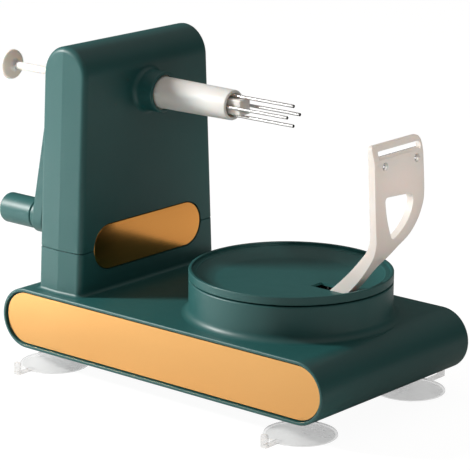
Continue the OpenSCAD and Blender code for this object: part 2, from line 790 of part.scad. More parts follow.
module grip_sleeve() color(green) along_x(grip_end_x, 0, grip_z) difference() {
    union() {
        translate([0, 0, 1.5]) cylinder(r = grip_r, h = grip_l - 2.5);
        cylinder(r1 = grip_r - 1.5, r2 = grip_r, h = 1.5);
        translate([0, 0, grip_l - 1]) cylinder(r1 = grip_r, r2 = grip_r - 1, h = 1);
    }
    translate([0, 0, -1]) cylinder(r = shaft_r + run_gap, h = grip_l + 2);
    translate([0, 0, -1]) cylinder(r = shaft_r + 2.4 + free_gap, h = 5.6 + free_gap);
}

module grip_cap() color(green) along_x(grip_end_x + 0.4, 0, grip_z)
    cylinder(r = shaft_r + 2.4 + free_gap - press_gap, h = 1.6);

// Ejector. The pusher is square, and a tine runs along each of its four flats
module ejector_rod() color(white) along_x(knob_x - 3, 0, spindle_z)
    cylinder(r = rod_r, h = mouth_x + pusher_out - 3 - knob_x + 3);

module ejector_knob() color(white) along_x(knob_x, 0, spindle_z) rotate([180, 0, 0]) rotate_extrude() {
    dish = [for (t = [0:0.1:1]) [(knob_r - 1) * (1 - t), knob_l - 1.6 * (1 - (1 - t) * (1 - t))]];
    polygon(concat([[rod_r + press_gap, 0], [rod_r + 1.6, 0], [rod_r + 2.2, knob_l - 4.6],
        [knob_r - 0.8, knob_l - 3], [knob_r, knob_l - 2.2], [knob_r, knob_l - 0.6]], dish,
        [[0, 3 + press_gap], [rod_r + press_gap, 3 + press_gap]]));
}

module ejector_pusher() color(white) along_x(mouth_x + pusher_out - pusher_l, 0, spindle_z) difference() {
    linear_extrude(pusher_l) intersection() {
        square(2 * pusher_half, center = true);
        circle(pusher_r);
    }
    translate([0, 0, -1]) cylinder(r = rod_r + press_gap, h = pusher_l - 3 + press_gap + 1);
}

// Lay shaft
module lay_shaft() color(steel) translate([lay_x, lay_y, cover_top + free_gap])
    cylinder(r = shaft_r, h = lay_top - cover_top - free_gap);

module worm_wheel() color(nylon) translate([lay_x, lay_y, spindle_z]) difference() {
    union() {
        translate([0, 0, -wheel_t / 2]) linear_extrude(wheel_t)
            polygon(gear_outline(wheel_n, worm_mod, worm_add, wheel_slack));
        translate([0, 0, -wheel_t / 2 - 2])
            cylinder(r = wheel_hub_r, h = bracket_z - spindle_z - lay_flange_t - free_gap + wheel_t / 2 + 2);
    }
    translate([0, 0, -wheel_t]) cylinder(r = shaft_r + press_gap, h = 3 * wheel_t);
}

module shaft_pinion() color(nylon) translate([lay_x, lay_y, lay_pinion_z]) difference() {
    rotate(pinion_turn) linear_extrude(gear_z + gear_t + 1 - lay_pinion_z)
        polygon(gear_outline(pinion_n, train_mod, 0.95, train_slack));
    translate([0, 0, -1]) cylinder(r = shaft_r + press_gap, h = 3 * gear_t);
}

module shaft_clip() color(steel) translate([lay_x, lay_y, bracket_z + bracket_t + free_gap])
    ring(shaft_r + 2, shaft_r + press_gap, 0.8);

module idler_gear() color(nylon) translate([idler_xy[0], idler_xy[1], gear_z]) difference() {
    union() {
        rotate(idler_turn) linear_extrude(gear_t)
            polygon(gear_outline(idler_n, train_mod, 0.95, train_slack));
        translate([0, 0, -1]) cylinder(r = shaft_r + 5, h = gear_t + 2);
    }
    translate([0, 0, -2]) cylinder(r = shaft_r + run_gap, h = gear_t + 4);
    for (turn = [0:60:300]) rotate(turn) translate([idler_r / 2 + 2, 0, -1]) cylinder(r = 5, h = gear_t + 2);
}

// Turntable
module turntable_lid() color(green) {
    step_z = lid_rim_top - 1.5;
    step_r = drum_r - lid_rim_w - 2.6;
    rise = [for (t = [0:0.125:1]) [step_r + (lid_floor_r - step_r) * t,
        lid_z + (step_z - lid_z) * (1 - t) * (1 - t)]];
    translate([table_x, 0, 0]) difference() {
        union() {
            rotate_extrude() polygon(concat(
                [[0, lid_under], [spigot_r - 2.4, lid_under], [spigot_r - 2.4, lid_under - 1.6],
                [spigot_r, lid_under - 1.6], [spigot_r, lid_z], [drum_r, lid_z],
                [drum_r, lid_rim_top - 0.5], [drum_r - 0.5, lid_rim_top],
                [drum_r - lid_rim_w, lid_rim_top], [drum_r - lid_rim_w, step_z]], rise, [[0, lid_z]]));
            translate([0, 0, lid_boss_z]) cylinder(r = lid_boss_r, h = lid_z - lid_boss_z - 1);
            arm_screws() translate([0, 0, lid_under - pad_h]) cylinder(r = boss_r, h = pad_h + 1);
        }
        translate([slot_in, -slot_w / 2, lid_under - 6]) cube([slot_out - slot_in, slot_w, 20]);
        translate([0, 0, lid_boss_z - 1]) cylinder(r = axle_r + press_gap, h = 5);
        table_screws() translate([0, 0, lid_boss_z - 1]) cylinder(r = screw_r + press_gap, h = 6);
        arm_screws() translate([0, 0, lid_under - pad_h - 1])
            cylinder(r = screw_r + press_gap, h = pad_h + 2);
    }
}

module table_screws() {
    for (turn = [60, 180, 300]) rotate(turn) translate([table_screw_ring, 0, 0]) children();
}

module arm_screws() {
    for (x = arm_screw_xs, side = [-1, 1]) translate([x, side * arm_screw_y, 0]) children();
}

module turntable_gear() color(nylon) translate([table_x, 0, 0]) difference() {
    union() {
        translate([0, 0, gear_z]) rotate(table_turn) linear_extrude(gear_t)
            polygon(gear_outline(table_n, train_mod, 0.95, train_slack));
        translate([0, 0, table_boss_z + lay_flange_t + free_gap])
            cylinder(r = table_hub_r, h = lid_boss_z - table_boss_z - lay_flange_t - free_gap);
        translate([0, 0, lid_boss_z - table_flange_t]) cylinder(r = lid_boss_r, h = table_flange_t);
    }
    translate([0, 0, foot_h]) cylinder(r = axle_r + press_gap, h = base_h + drum_h);
    table_screws() translate([0, 0, lid_boss_z - table_flange_t - 1])
        cylinder(r = screw_r + seam_gap, h = table_flange_t + 2);
    for (turn = [0:60:300]) rotate(turn) translate([table_gear_r / 2 + 3, 0, gear_z - 1])
        cylinder(r = 7, h = gear_t + 2);
}

module turntable_axle() color(steel) translate([table_x, 0, axle_bottom]) difference() {
    cylinder(r = axle_r, h = lid_boss_z + 3.5 - axle_bottom);
    translate([0, 0, -1]) cylinder(r = 1.5 + press_gap, h = 11);
}

module axle_washer() color(steel) translate([table_x, 0, axle_bottom - 1])
    ring(pocket_r - 1, 1.5 + seam_gap, 1);

module axle_screw() color(steel) translate([table_x, 0, axle_bottom - 1]) screw(1.5, 10, 3.4, 1.6);

module lid_screws() color(steel) translate([table_x, 0, lid_boss_z - table_flange_t])
    table_screws() screw(screw_r, table_flange_t + 4, screw_head_r - 0.6, screw_head_h);

module arm_bracket() color(steel) translate([table_x, 0, 0]) difference() {
    union() {
        translate([arm_bracket_in, -arm_bracket_y, arm_flange_z])
            cube([5.2, 2 * arm_bracket_y, bracket_bar_t]);
        for (side = [-1, 1]) {
            translate([arm_bracket_in, side > 0 ? lug_in : -arm_bracket_y, arm_flange_z])
                cube([19.2, arm_bracket_y - lug_in, bracket_bar_t]);
            y0 = side > 0 ? lug_in : -lug_in - lug_t;
            extrude_y(y0, y0 + lug_t) translate([pivot_r, pivot_z]) {
                circle(5);
                translate([-5, 0]) square([10, arm_flange_z - pivot_z + 1]);
            }
        }
    }
    translate([pivot_r, -arm_bracket_y, pivot_z]) rotate([-90, 0, 0])
        cylinder(r = pin_r + press_gap, h = 2 * arm_bracket_y);
    arm_screws() translate([0, 0, arm_flange_z - 1]) cylinder(r = screw_r + seam_gap, h = bracket_bar_t + 2);
}

module arm_bracket_screws() color(steel) translate([table_x, 0, arm_flange_z])
    arm_screws() screw(screw_r, bracket_bar_t + pad_h, screw_head_r, screw_head_h);

module arm_pin() color(steel) translate([pivot_x, -pin_long, pivot_z]) rotate([-90, 0, 0])
    cylinder(r = pin_r, h = pin_long + lug_in + lug_t + 0.5);

// A torsion spring round the pin's long end, with one leg up to the bracket
module arm_spring() color(steel) {
    steps = spring_turns * 12;
    y0 = -lug_in - lug_t - spring_wire - 0.2;
    pitch = 1.3;
    path = concat([for (i = [0:steps]) let(a = i * 30)
        [pivot_x + spring_r * cos(a), y0 - pitch * a / 360, pivot_z + spring_r * sin(a)]],
        [[pivot_x + spring_r, y0 - pitch * spring_turns, arm_flange_z - 0.1]]);
    last = len(path) - 1;
    points = [for (i = [0:last]) let(
        way = unit(path[min(i + 1, last)] - path[max(i - 1, 0)]),
        side = unit(cross(way, [0, 1, 0])), up = cross(side, way))
        for (k = [0:5]) path[i] + spring_wire * (cos(60 * k) * side + sin(60 * k) * up)];
    polyhedron(points, sweep_faces(last + 1, 6));
}

// Peeler arm
module arm_side() {
    lean = [cos(stem_lean), sin(stem_lean)];
    out = [sin(stem_lean), -cos(stem_lean)];
    top_in = [elbow_out[0] - head_back - head_t, head_up];
    bar_z = head_up - bar_h;
    bar_out = [elbow_out[0] - head_back * (bar_z - elbow_out[1]) / (head_up - elbow_out[1]), bar_z];
    translate([pivot_x, pivot_z]) {
        circle(eye_r);
        polygon(soften(
            [out * stem_t / 2, stem_out, elbow_out, bar_out, top_in + [bar_top_t, 0], top_in, elbow_in,
            stem_in, -out * stem_t / 2 + lean * 4, -out * stem_t / 2],
            [0, 8, 6, 2.5, 0.8, 0.8, 6, 8, 0, 0]));
    }
}

module arm_front() {
    low = pivot_z - 2 * eye_r;
    polygon(soften(
        [[head_y, low], [stem_w / 2, low], [stem_w / 2, pivot_z + 28], [head_y + 24.4, pivot_z + 38],
        [head_far - 3, pivot_z + 51], [head_far, pivot_z + 64], [head_far - 1.5, head_top],
        [head_y, head_top]],
        [0, 0, 3, 10, 6, 6, 4, 2.2]));
}

module arm_window() {
    polygon(soften(
        [[head_y + 9.6, pivot_z + 67], [head_far - 9, pivot_z + 66.3], [head_far - 9.3, pivot_z + 57],
        [head_y + 15.6, pivot_z + 41.4], [head_y + 10.4, pivot_z + 54]],
        [3, 4, 5, 3, 7]));
}

module peeler_arm() color(cream) difference() {
    intersection() {
        extrude_y(head_y - 1, head_far + 1) arm_side();
        extrude_x(pivot_x - 2 * eye_r, head_x) arm_front();
    }
    extrude_x(pivot_x + eye_r, head_x) arm_window();
    extrude_x(pivot_x + eye_r, head_x) translate([slot_y, blade_z])
        square([blade_slot_l, blade_slot_h], center = true);
    for (y = hole_ys) along_x(pivot_x + eye_r, y, hole_z)
        cylinder(r = hole_r, h = head_x - pivot_x - eye_r);
    translate([pivot_x, head_y - 1, pivot_z]) rotate([-90, 0, 0])
        cylinder(r = pin_r + run_gap, h = stem_w + 2);
}

// The blade lies on the head's fruit side, square to the leaning head, with its edge under the slot
head_slope = atan(head_back / (head_up - elbow_out[1]));

module on_head(y, z) {
    back = elbow_out[0] - head_back * (z - pivot_z - elbow_out[1]) / (head_up - elbow_out[1]) - head_t;
    translate([pivot_x + back, y, z]) rotate([0, -head_slope, 0]) children();
}

module blade() color(steel) difference() {
    plate_h = blade_z - blade_slot_h / 2 - hole_z;
    on_head(slot_y, hole_z) extrude_y(-blade_slot_l / 2 - 1, blade_slot_l / 2 + 1)
        polygon([[-blade_lift, -4], [-blade_lift, plate_h], [-blade_lift - 0.2, plate_h + 0.3],
            [-blade_lift - 0.4, plate_h + 0.3], [-blade_lift - blade_t, plate_h - 0.5],
            [-blade_lift - blade_t, -4]]);
    for (y = hole_ys) on_head(y, hole_z) translate([-3, 0, 0]) rotate([0, 90, 0])
        cylinder(r = hole_r - 0.3 + press_gap, h = 6);
}

module blade_screws() color(steel)
    for (y = hole_ys) on_head(y, hole_z) translate([-blade_lift - blade_t, 0, 0]) rotate([0, 90, 0])
        screw(hole_r - 0.3, head_t - 2, screw_head_r - 0.4, 1);

base_shell();
bottom_cover();
bottom_screws();
front_panel();
rear_panel();
foot_front_left();
foot_front_right();
foot_rear_left();
foot_rear_right();
tower_front_cover();
tower_rear_cover();
tower_screws();
oval_plate();
front_bush();
rear_bush();
shaft_bracket();
bracket_screws();
upper_bush();
lower_bush();
idler_pin();
idler_clip();
turntable_bush();
spindle_tube();
tine_holder();
tines();
worm();
crank_arm();
crank_screw();
grip_pin();
grip_sleeve();
grip_cap();
ejector_rod();
ejector_knob();
ejector_pusher();
lay_shaft();
worm_wheel();
shaft_pinion();
shaft_clip();
idler_gear();
turntable_lid();
turntable_gear();
turntable_axle();
axle_washer();
axle_screw();
lid_screws();
arm_bracket();
arm_bracket_screws();
arm_pin();
arm_spring();
peeler_arm();
blade();
blade_screws();
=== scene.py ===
"""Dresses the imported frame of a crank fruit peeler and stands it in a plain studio.

Shapes are built in millimetres in the frame of the solids: +X runs from the crank to the turntable,
+Z is up, and the object stands on z = 0. A shape is scaled to metres when it becomes a piece.
"""

import json
import logging
import math
from dataclasses import dataclass
from enum import Enum
from typing import Callable, Optional, Sequence, Union

import bmesh
import bpy
from mathutils import Matrix, Vector


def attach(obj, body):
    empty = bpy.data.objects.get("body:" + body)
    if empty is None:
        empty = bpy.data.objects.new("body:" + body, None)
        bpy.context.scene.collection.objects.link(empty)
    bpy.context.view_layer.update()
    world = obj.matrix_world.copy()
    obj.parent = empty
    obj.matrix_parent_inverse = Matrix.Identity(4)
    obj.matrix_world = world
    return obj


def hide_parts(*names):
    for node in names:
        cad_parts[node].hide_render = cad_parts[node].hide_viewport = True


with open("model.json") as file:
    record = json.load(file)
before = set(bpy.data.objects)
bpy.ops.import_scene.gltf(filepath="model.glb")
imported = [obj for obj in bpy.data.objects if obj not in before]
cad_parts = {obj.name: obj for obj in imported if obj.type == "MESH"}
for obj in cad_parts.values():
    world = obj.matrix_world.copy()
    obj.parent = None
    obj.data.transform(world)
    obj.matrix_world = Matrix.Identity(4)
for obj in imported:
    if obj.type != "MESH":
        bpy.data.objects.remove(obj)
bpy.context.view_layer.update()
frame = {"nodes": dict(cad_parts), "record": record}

log = logging.getLogger("peeler")

MM = 0.001
HAIR = 0.001
IMAGE_SIDE = 470.0
SENSOR = 36.0

Corner = tuple[float, float, float]
Colour = tuple[float, float, float]
Feed = Union["Wire", float, int, tuple]


def stand(name: str, data: bpy.types.ID) -> bpy.types.Object:
    """Put an object in the scene.

    Args:
        name: Name of the object.
        data: Its mesh, lamp or camera.

    Returns:
        The object.
    """
    made = bpy.data.objects.new(name, data)
    bpy.context.scene.collection.objects.link(made)
    return made


class Plane(Enum):
    """The plane that an outline is drawn in, as the places of its u, v and depth in x, y, z."""

    XY = (0, 1, 2)
    XZ = (0, 2, 1)
    YZ = (1, 2, 0)

    def point(self, u: float, v: float, depth: float) -> Vector:
        """Give the point at u, v and depth.

        Args:
            u: First coordinate in the plane.
            v: Second coordinate in the plane.
            depth: Coordinate across the plane.

        Returns:
            The point in the frame of the solids.
        """
        place = [0.0, 0.0, 0.0]
        for axis, value in zip(self.value, (u, v, depth)):
            place[axis] = value
        return Vector(place)


class Axis(Enum):
    """The axis that a turned shape is turned round."""

    X = "X"
    Z = "Z"


class Join(Enum):
    """How two shapes are put together."""

    CUT = "DIFFERENCE"
    FUSE = "UNION"
    COMMON = "INTERSECT"


class Form:
    """A closed shape in millimetres that is worked on until it becomes a piece."""

    def __init__(self) -> None:
        """Start with nothing."""
        self.bm = bmesh.new()

    @classmethod
    def plate(cls, corners: Sequence[Corner], plane: Plane, low: float, high: float,
              segments: int = 8) -> "Form":
        """Make a plate from an outline with rounded corners.

        Args:
            corners: The outline's corners, each with the length that its rounding takes.
            plane: The plane of the outline.
            low: Where the plate starts across the plane.
            high: Where the plate ends across the plane.
            segments: Steps of each rounding.

        Returns:
            The plate.
        """
        form = cls()
        face = form._outline(corners, plane, low, segments)
        grown = bmesh.ops.extrude_face_region(form.bm, geom=[face])
        moved = [item for item in grown["geom"] if isinstance(item, bmesh.types.BMVert)]
        bmesh.ops.translate(form.bm, verts=moved, vec=plane.point(0, 0, high - low))
        return form.tidy()

    @classmethod
    def slab(cls, u: tuple[float, float], v: tuple[float, float], plane: Plane, low: float, high: float,
             rounding: float = 0.0, segments: int = 8) -> "Form":
        """Make a plate with a rectangular outline.

        Args:
            u: Where the outline starts and ends along the plane's first axis.
            v: Where the outline starts and ends along the plane's second axis.
            plane: The plane of the outline.
            low: Where the plate starts across the plane.
            high: Where the plate ends across the plane.
            rounding: Length that the rounding of each corner takes.
            segments: Steps of each rounding.

        Returns:
            The plate.
        """
        corners = [(u[i], v[j], rounding) for i, j in ((0, 0), (1, 0), (1, 1), (0, 1))]
        return cls.plate(corners, plane, low, high, segments)

    @classmethod
    def pill(cls, mid: tuple[float, float], size: tuple[float, float], plane: Plane, low: float,
             high: float) -> "Form":
        """Make a plate with two full round ends.

        Args:
            mid: The middle of the outline.
            size: Its length and its height.
            plane: The plane of the outline.
            low: Where the plate starts across the plane.
            high: Where the plate ends across the plane.

        Returns:
            The plate.
        """
        u, v = size[0] / 2, size[1] / 2
        return cls.slab((mid[0] - u, mid[0] + u), (mid[1] - v, mid[1] + v), plane, low, high,
                        min(u, v) - HAIR, 16)

    @classmethod
    def turned(cls, corners: Sequence[Corner], axis: Axis, at: tuple[float, float], steps: int = 96,
               segments: int = 5) -> "Form":
        """Turn a closed profile round an axis.

        Args:
            corners: Radius, place along the axis and rounding of each corner of the profile.
            axis: The axis.
            at: Where the axis passes: y and z for X, x and y for Z.
            steps: Steps of the full turn.
            segments: Steps of each rounding.

        Returns:
            The turned shape.
        """
        form = cls()
        face = form._outline(corners, Plane.XZ, 0, segments)
        bmesh.ops.delete(form.bm, geom=[face], context="FACES_ONLY")
        inner = [e for e in form.bm.edges if max(abs(v.co.x) for v in e.verts) < 1e-4]
        bmesh.ops.delete(form.bm, geom=inner, context="EDGES")
        bmesh.ops.spin(form.bm, geom=form.bm.verts[:] + form.bm.edges[:], cent=(0, 0, 0), axis=(0, 0, 1),
                       dvec=(0, 0, 0), angle=math.tau, steps=steps, use_merge=True)
        place = Matrix.Translation((at[0], at[1], 0))
        if axis is Axis.X:
            place = Matrix.Translation((0, at[0], at[1])) @ Matrix.Rotation(math.pi / 2, 4, "Y")
        bmesh.ops.transform(form.bm, matrix=place, verts=form.bm.verts[:])
        bmesh.ops.dissolve_degenerate(form.bm, dist=1e-4, edges=form.bm.edges[:])
        return form.tidy()

    @classmethod
    def rod(cls, radius: float, low: float, high: float, axis: Axis, at: tuple[float, float],
            steps: int = 64) -> "Form":
        """Make a plain rod, which is used to cut holes and to build on."""
        return cls.turned([(0, low, 0), (radius, low, 0), (radius, high, 0), (0, high, 0)], axis, at, steps)

    def _outline(self, corners: Sequence[Corner], plane: Plane, depth: float,
                 segments: int) -> bmesh.types.BMFace:
        """Draw an outline as one face and round its corners.

        Args:
            corners: The corners, each with the length that its rounding takes.
            plane: The plane of the outline.
            depth: Where the outline lies across the plane.
            segments: Steps of each rounding.

        Returns:
            The face.
        """
        verts = [self.bm.verts.new(plane.point(u, v, depth)) for u, v, _ in corners]
        self.bm.faces.new(verts)
        for vert, (_, _, rounding) in zip(verts, corners):
            if rounding > 0:
                bmesh.ops.bevel(self.bm, geom=[vert], affect="VERTICES", offset=rounding, segments=segments,
                                profile=0.5, material=-1, clamp_overlap=False)
        bmesh.ops.remove_doubles(self.bm, verts=self.bm.verts[:], dist=0.004)
        self.bm.faces.ensure_lookup_table()
        return self.bm.faces[0]

    def tidy(self) -> "Form":
        """Merge doubled points and turn all faces outwards.

        Returns:
            The same shape.
        """
        bmesh.ops.remove_doubles(self.bm, verts=self.bm.verts[:], dist=0.001)
        bmesh.ops.recalc_face_normals(self.bm, faces=self.bm.faces[:])
        return self

    def skew(self, chosen: Callable[[Vector], bool], row: tuple[float, float, float, float]) -> "Form":
        """Move points across Y by an amount that grows evenly along the axes.

        Args:
            chosen: Tells which points move.
            row: How much the move grows along x, y and z, and the move at the origin.

        Returns:
            The same shape.
        """
        shear = Matrix.Identity(4)
        shear[1] = (row[0], 1 + row[1], row[2], row[3])
        moved = [v for v in self.bm.verts if chosen(v.co)]
        bmesh.ops.transform(self.bm, matrix=shear, verts=moved)
        return self

    def round_edges(self, chosen: Callable[[Vector, Vector], bool], radius: float,
                    segments: int = 4) -> "Form":
        """Round some of the edges.

        Args:
            chosen: Tells from an edge's two ends whether it is rounded.
            radius: Radius of the rounding.
            segments: Steps of the rounding.

        Returns:
            The same shape.
        """
        edges = [e for e in self.bm.edges if chosen(e.verts[0].co, e.verts[1].co)]
        bmesh.ops.bevel(self.bm, geom=edges, affect="EDGES", offset=radius, segments=segments, profile=0.5,
                        material=-1, clamp_overlap=True)
        return self.tidy()

    def split(self, point: tuple[float, float, float], normal: tuple[float, float, float]) -> "Form":
        """Draw an edge round the shape where a plane crosses it."""
        bmesh.ops.bisect_plane(self.bm, geom=self.bm.verts[:] + self.bm.edges[:] + self.bm.faces[:],
                               plane_co=point, plane_no=normal, dist=0.01)
        return self

    def keep_below(self, point: tuple[float, float, float], normal: tuple[float, float, float],
                   edge: float) -> "Form":
        """Cut the shape at a plane, keep what lies against its normal and round the new edge.

        Args:
            point: A point of the plane.
            normal: The plane's normal, which points to what is taken off.
            edge: Radius along the new edge.

        Returns:
            The same shape.
        """
        cut = bmesh.ops.bisect_plane(self.bm, geom=self.bm.verts[:] + self.bm.edges[:] + self.bm.faces[:],
                                     plane_co=point, plane_no=normal, clear_outer=True)
        loop = [item for item in cut["geom_cut"] if isinstance(item, bmesh.types.BMEdge)]
        bmesh.ops.holes_fill(self.bm, edges=loop, sides=0)
        bmesh.ops.bevel(self.bm, geom=loop, affect="EDGES", offset=edge, segments=2, profile=0.5,
                        material=-1, clamp_overlap=True)
        return self.tidy()

    def stand_in(self, name: str) -> bpy.types.Object:
        """Make a passing object of the shape, in millimetres.

        Args:
            name: Name of the object.

        Returns:
            The object.
        """
        mesh = bpy.data.meshes.new(name)
        self.bm.to_mesh(mesh)
        return stand(name, mesh)

    def join(self, tool: "Form", how: Join) -> "Form":
        """Cut, fuse or intersect this shape with another one.

        Args:
            tool: The other shape.
            how: What is done with it.

        Returns:
            This shape, changed.
        """
        mine, other = self.stand_in("work"), tool.stand_in("tool")
        change = mine.modifiers.new("join", "BOOLEAN")
        change.operation = how.value
        change.solver = "EXACT"
        change.object = other
        bpy.context.view_layer.update()
        graph = bpy.context.evaluated_depsgraph_get()
        result = bpy.data.meshes.new_from_object(mine.evaluated_get(graph))
        self.bm.clear()
        self.bm.from_mesh(result)
        bpy.data.meshes.remove(result)
        for passing in (mine, other):
            bpy.data.meshes.remove(passing.data)
        return self

    def cut(self, *tools: "Form") -> "Form":
        """Cut other shapes out of this one.

        Args:
            tools: The other shapes.

        Returns:
            This shape, changed.
        """
        for tool in tools:
            self.join(tool, Join.CUT)
        return self

    def fuse(self, *others: "Form") -> "Form":
        """Fuse other shapes to this one.

        Args:
            others: The other shapes.

        Returns:
            This shape, changed.
        """
        for other in others:
            self.join(other, Join.FUSE)
        return self


class Wire:
    """A socket that a node gives; Python's operators on it add Math nodes."""

    def __init__(self, graph: "Graph", socket: bpy.types.NodeSocket) -> None:
        """Wrap a socket of a graph."""
        self.graph = graph
        self.socket = socket

    def _math(self, operation: str, left: Feed, right: Feed) -> "Wire":
        """Add one Math node."""
        return self.graph.node("Math", {"operation": operation}, {0: left, 1: right})

    def __add__(self, other: Feed) -> "Wire":
        """Add another value."""
        return self._math("ADD", self, other)

    def __radd__(self, other: Feed) -> "Wire":
        """Add to another value."""
        return self._math("ADD", other, self)

    def __sub__(self, other: Feed) -> "Wire":
        """Take another value off."""
        return self._math("SUBTRACT", self, other)

    def __rsub__(self, other: Feed) -> "Wire":
        """Take this off another value."""
        return self._math("SUBTRACT", other, self)

    def __mul__(self, other: Feed) -> "Wire":
        """Multiply by another value."""
        return self._math("MULTIPLY", self, other)

    def __rmul__(self, other: Feed) -> "Wire":
        """Multiply another value by this."""
        return self._math("MULTIPLY", other, self)

    def __gt__(self, other: Feed) -> "Wire":
        """Give one where this is greater, else zero."""
        return self._math("GREATER_THAN", self, other)


class Graph:
    """The nodes of one material or world."""

    def __init__(self, owner: Union[bpy.types.Material, bpy.types.World]) -> None:
        """Start an empty node tree on its owner."""
        owner.use_nodes = True
        self.tree = owner.node_tree
        self.tree.nodes.clear()

    def node(self, kind: str, settings: Optional[dict] = None, feeds: Optional[dict] = None,
             out: Union[int, str] = 0) -> Optional[Wire]:
        """Add a node.

        Args:
            kind: The node's type, without its ShaderNode prefix.
            settings: Its settings; "stops" holds a ramp's places and colours.
            feeds: Values or wires for its inputs.
            out: Which output is wanted.

        Returns:
            The output as a wire, or None where the node has no output.
        """
        made = self.tree.nodes.new("ShaderNode" + kind)
        for key, value in (settings or {}).items():
            if key == "stops":
                ramp = made.color_ramp.elements
                while len(ramp) < len(value):
                    ramp.new(1.0)
                for stop, (place, colour) in zip(ramp, value):
                    stop.position = place
                    stop.color = (*colour, 1.0)
            else:
                setattr(made, key, value)
        for key, value in (feeds or {}).items():
            if isinstance(value, Wire):
                self.tree.links.new(value.socket, made.inputs[key])
            else:
                made.inputs[key].default_value = value
        return Wire(self, made.outputs[out]) if len(made.outputs) else None

    def place(self, scale: tuple[float, float, float] = (1, 1, 1)) -> Wire:
        """Give the piece's own coordinates, stretched by a scale."""
        spot = self.node("TexCoord", out="Object")
        return self.node("Mapping", {}, {"Vector": spot, "Scale": scale})

    def noise(self, spot: Wire, scale: float, detail: float = 2.0) -> Wire:
        """Give a noise pattern with features about one over scale metres apart."""
        return self.node("TexNoise", {}, {"Vector": spot, "Scale": scale, "Detail": detail})

    def mix(self, factor: Feed, low: Union[Wire, Colour], high: Union[Wire, Colour]) -> Wire:
        """Mix two colours.

        Args:
            factor: Share of the second colour.
            low: The first colour.
            high: The second colour.

        Returns:
            The mixed colour.
        """
        feeds = {0: factor, 6: low, 7: high}
        for key in (6, 7):
            if not isinstance(feeds[key], Wire):
                feeds[key] = (*feeds[key], 1.0)
        return self.node("Mix", {"data_type": "RGBA"}, feeds, 2)

    def bump(self, pattern: Wire, height: float, strength: float) -> Wire:
        """Give normals that follow a pattern of a height in metres."""
        return self.node("Bump", {}, {"Strength": strength, "Distance": height, "Height": pattern})

    def surface(self, shader: Wire) -> None:
        """Make a shader the surface."""
        self.node("OutputMaterial", {}, {"Surface": shader})


def shade(colour: Colour, factor: float) -> Colour:
    """Give a colour made lighter or darker by a factor."""
    return tuple(min(1.0, part * factor) for part in colour)


def linear(code: str) -> Colour:
    """Give the linear colour of a hex code as a screen shows it."""
    parts = [int(code[i:i + 2], 16) / 255 for i in (1, 3, 5)]
    return tuple(p / 12.92 if p <= 0.04045 else ((p + 0.055) / 1.055) ** 2.4 for p in parts)


@dataclass(frozen=True)
class Finish:
    """What every finish has.

    Attributes:
        name: Name of its material.
    """

    name: str

    def feeds(self, graph: Graph) -> dict:
        """Add the finish's own nodes, and give what they feed the shader with."""
        raise NotImplementedError

    def material(self) -> bpy.types.Material:
        """Build the material.

        Returns:
            The material.
        """
        made = bpy.data.materials.new(self.name)
        graph = Graph(made)
        graph.surface(graph.node("BsdfPrincipled", {}, self.feeds(graph)))
        return made


@dataclass(frozen=True)
class Plastic(Finish):
    """A moulded plastic with a fine spark grain and faint flow clouds.

    Attributes:
        colour: Its colour.
        rough: Its mean roughness.
        grain: Height of the grain, in metres.
        drift: How far the colour drifts in the clouds.
        level: Strength of its gloss.
        depth: Share of light that goes under the surface.
    """

    colour: Colour
    rough: float
    grain: float
    drift: float
    level: float
    depth: float

    def feeds(self, graph: Graph) -> dict:
        """Add the nodes of this finish.

        Args:
            graph: The material's nodes.

        Returns:
            The values and wires for the shader.
        """
        spot = graph.place()
        cloud = graph.noise(spot, 28.0, 3.0)
        smear = graph.noise(graph.place((1.0, 1.0, 0.25)), 160.0, 4.0)
        grain = graph.noise(spot, 2400.0, 3.0)
        colour = graph.mix(cloud, shade(self.colour, 1 - self.drift), shade(self.colour, 1 + self.drift))
        rough = (cloud - 0.5) * 0.06 + (smear - 0.5) * 0.10 + (grain - 0.5) * 0.05 + self.rough
        return {"Base Color": colour, "Roughness": rough, "Normal": graph.bump(grain, self.grain, 0.35),
                "IOR": 1.5, "Specular IOR Level": self.level, "Subsurface Weight": self.depth,
                "Subsurface Scale": 0.005, "Subsurface Radius": (1.0, 0.7, 0.55)}


@dataclass(frozen=True)
class Metal(Finish):
    """A metal with fine lines along one way and faint clouds.

    Attributes:
        colour: Its colour.
        dark: Its colour in the clouds' low parts.
        rough: Its mean roughness.
        stretch: How tight the lines are along x, y and z.
        lines: Height of the lines, in metres.
    """

    colour: Colour
    dark: Colour
    rough: float
    stretch: tuple[float, float, float]
    lines: float

    def feeds(self, graph: Graph) -> dict:
        """Add the nodes of this finish.

        Args:
            graph: The material's nodes.

        Returns:
            The values and wires for the shader.
        """
        cloud = graph.noise(graph.place(), 14.0, 3.0)
        lines = graph.noise(graph.place(self.stretch), 1.0, 4.0)
        fine = graph.noise(graph.place(), 900.0, 2.0)
        colour = graph.mix(cloud * 0.7 + lines * 0.3, self.dark, self.colour)
        rough = (lines - 0.5) * 0.14 + (fine - 0.5) * 0.05 + (cloud - 0.5) * 0.05 + self.rough
        return {"Base Color": colour, "Roughness": rough, "Metallic": 1.0,
                "Normal": graph.bump(lines, self.lines, 0.3)}


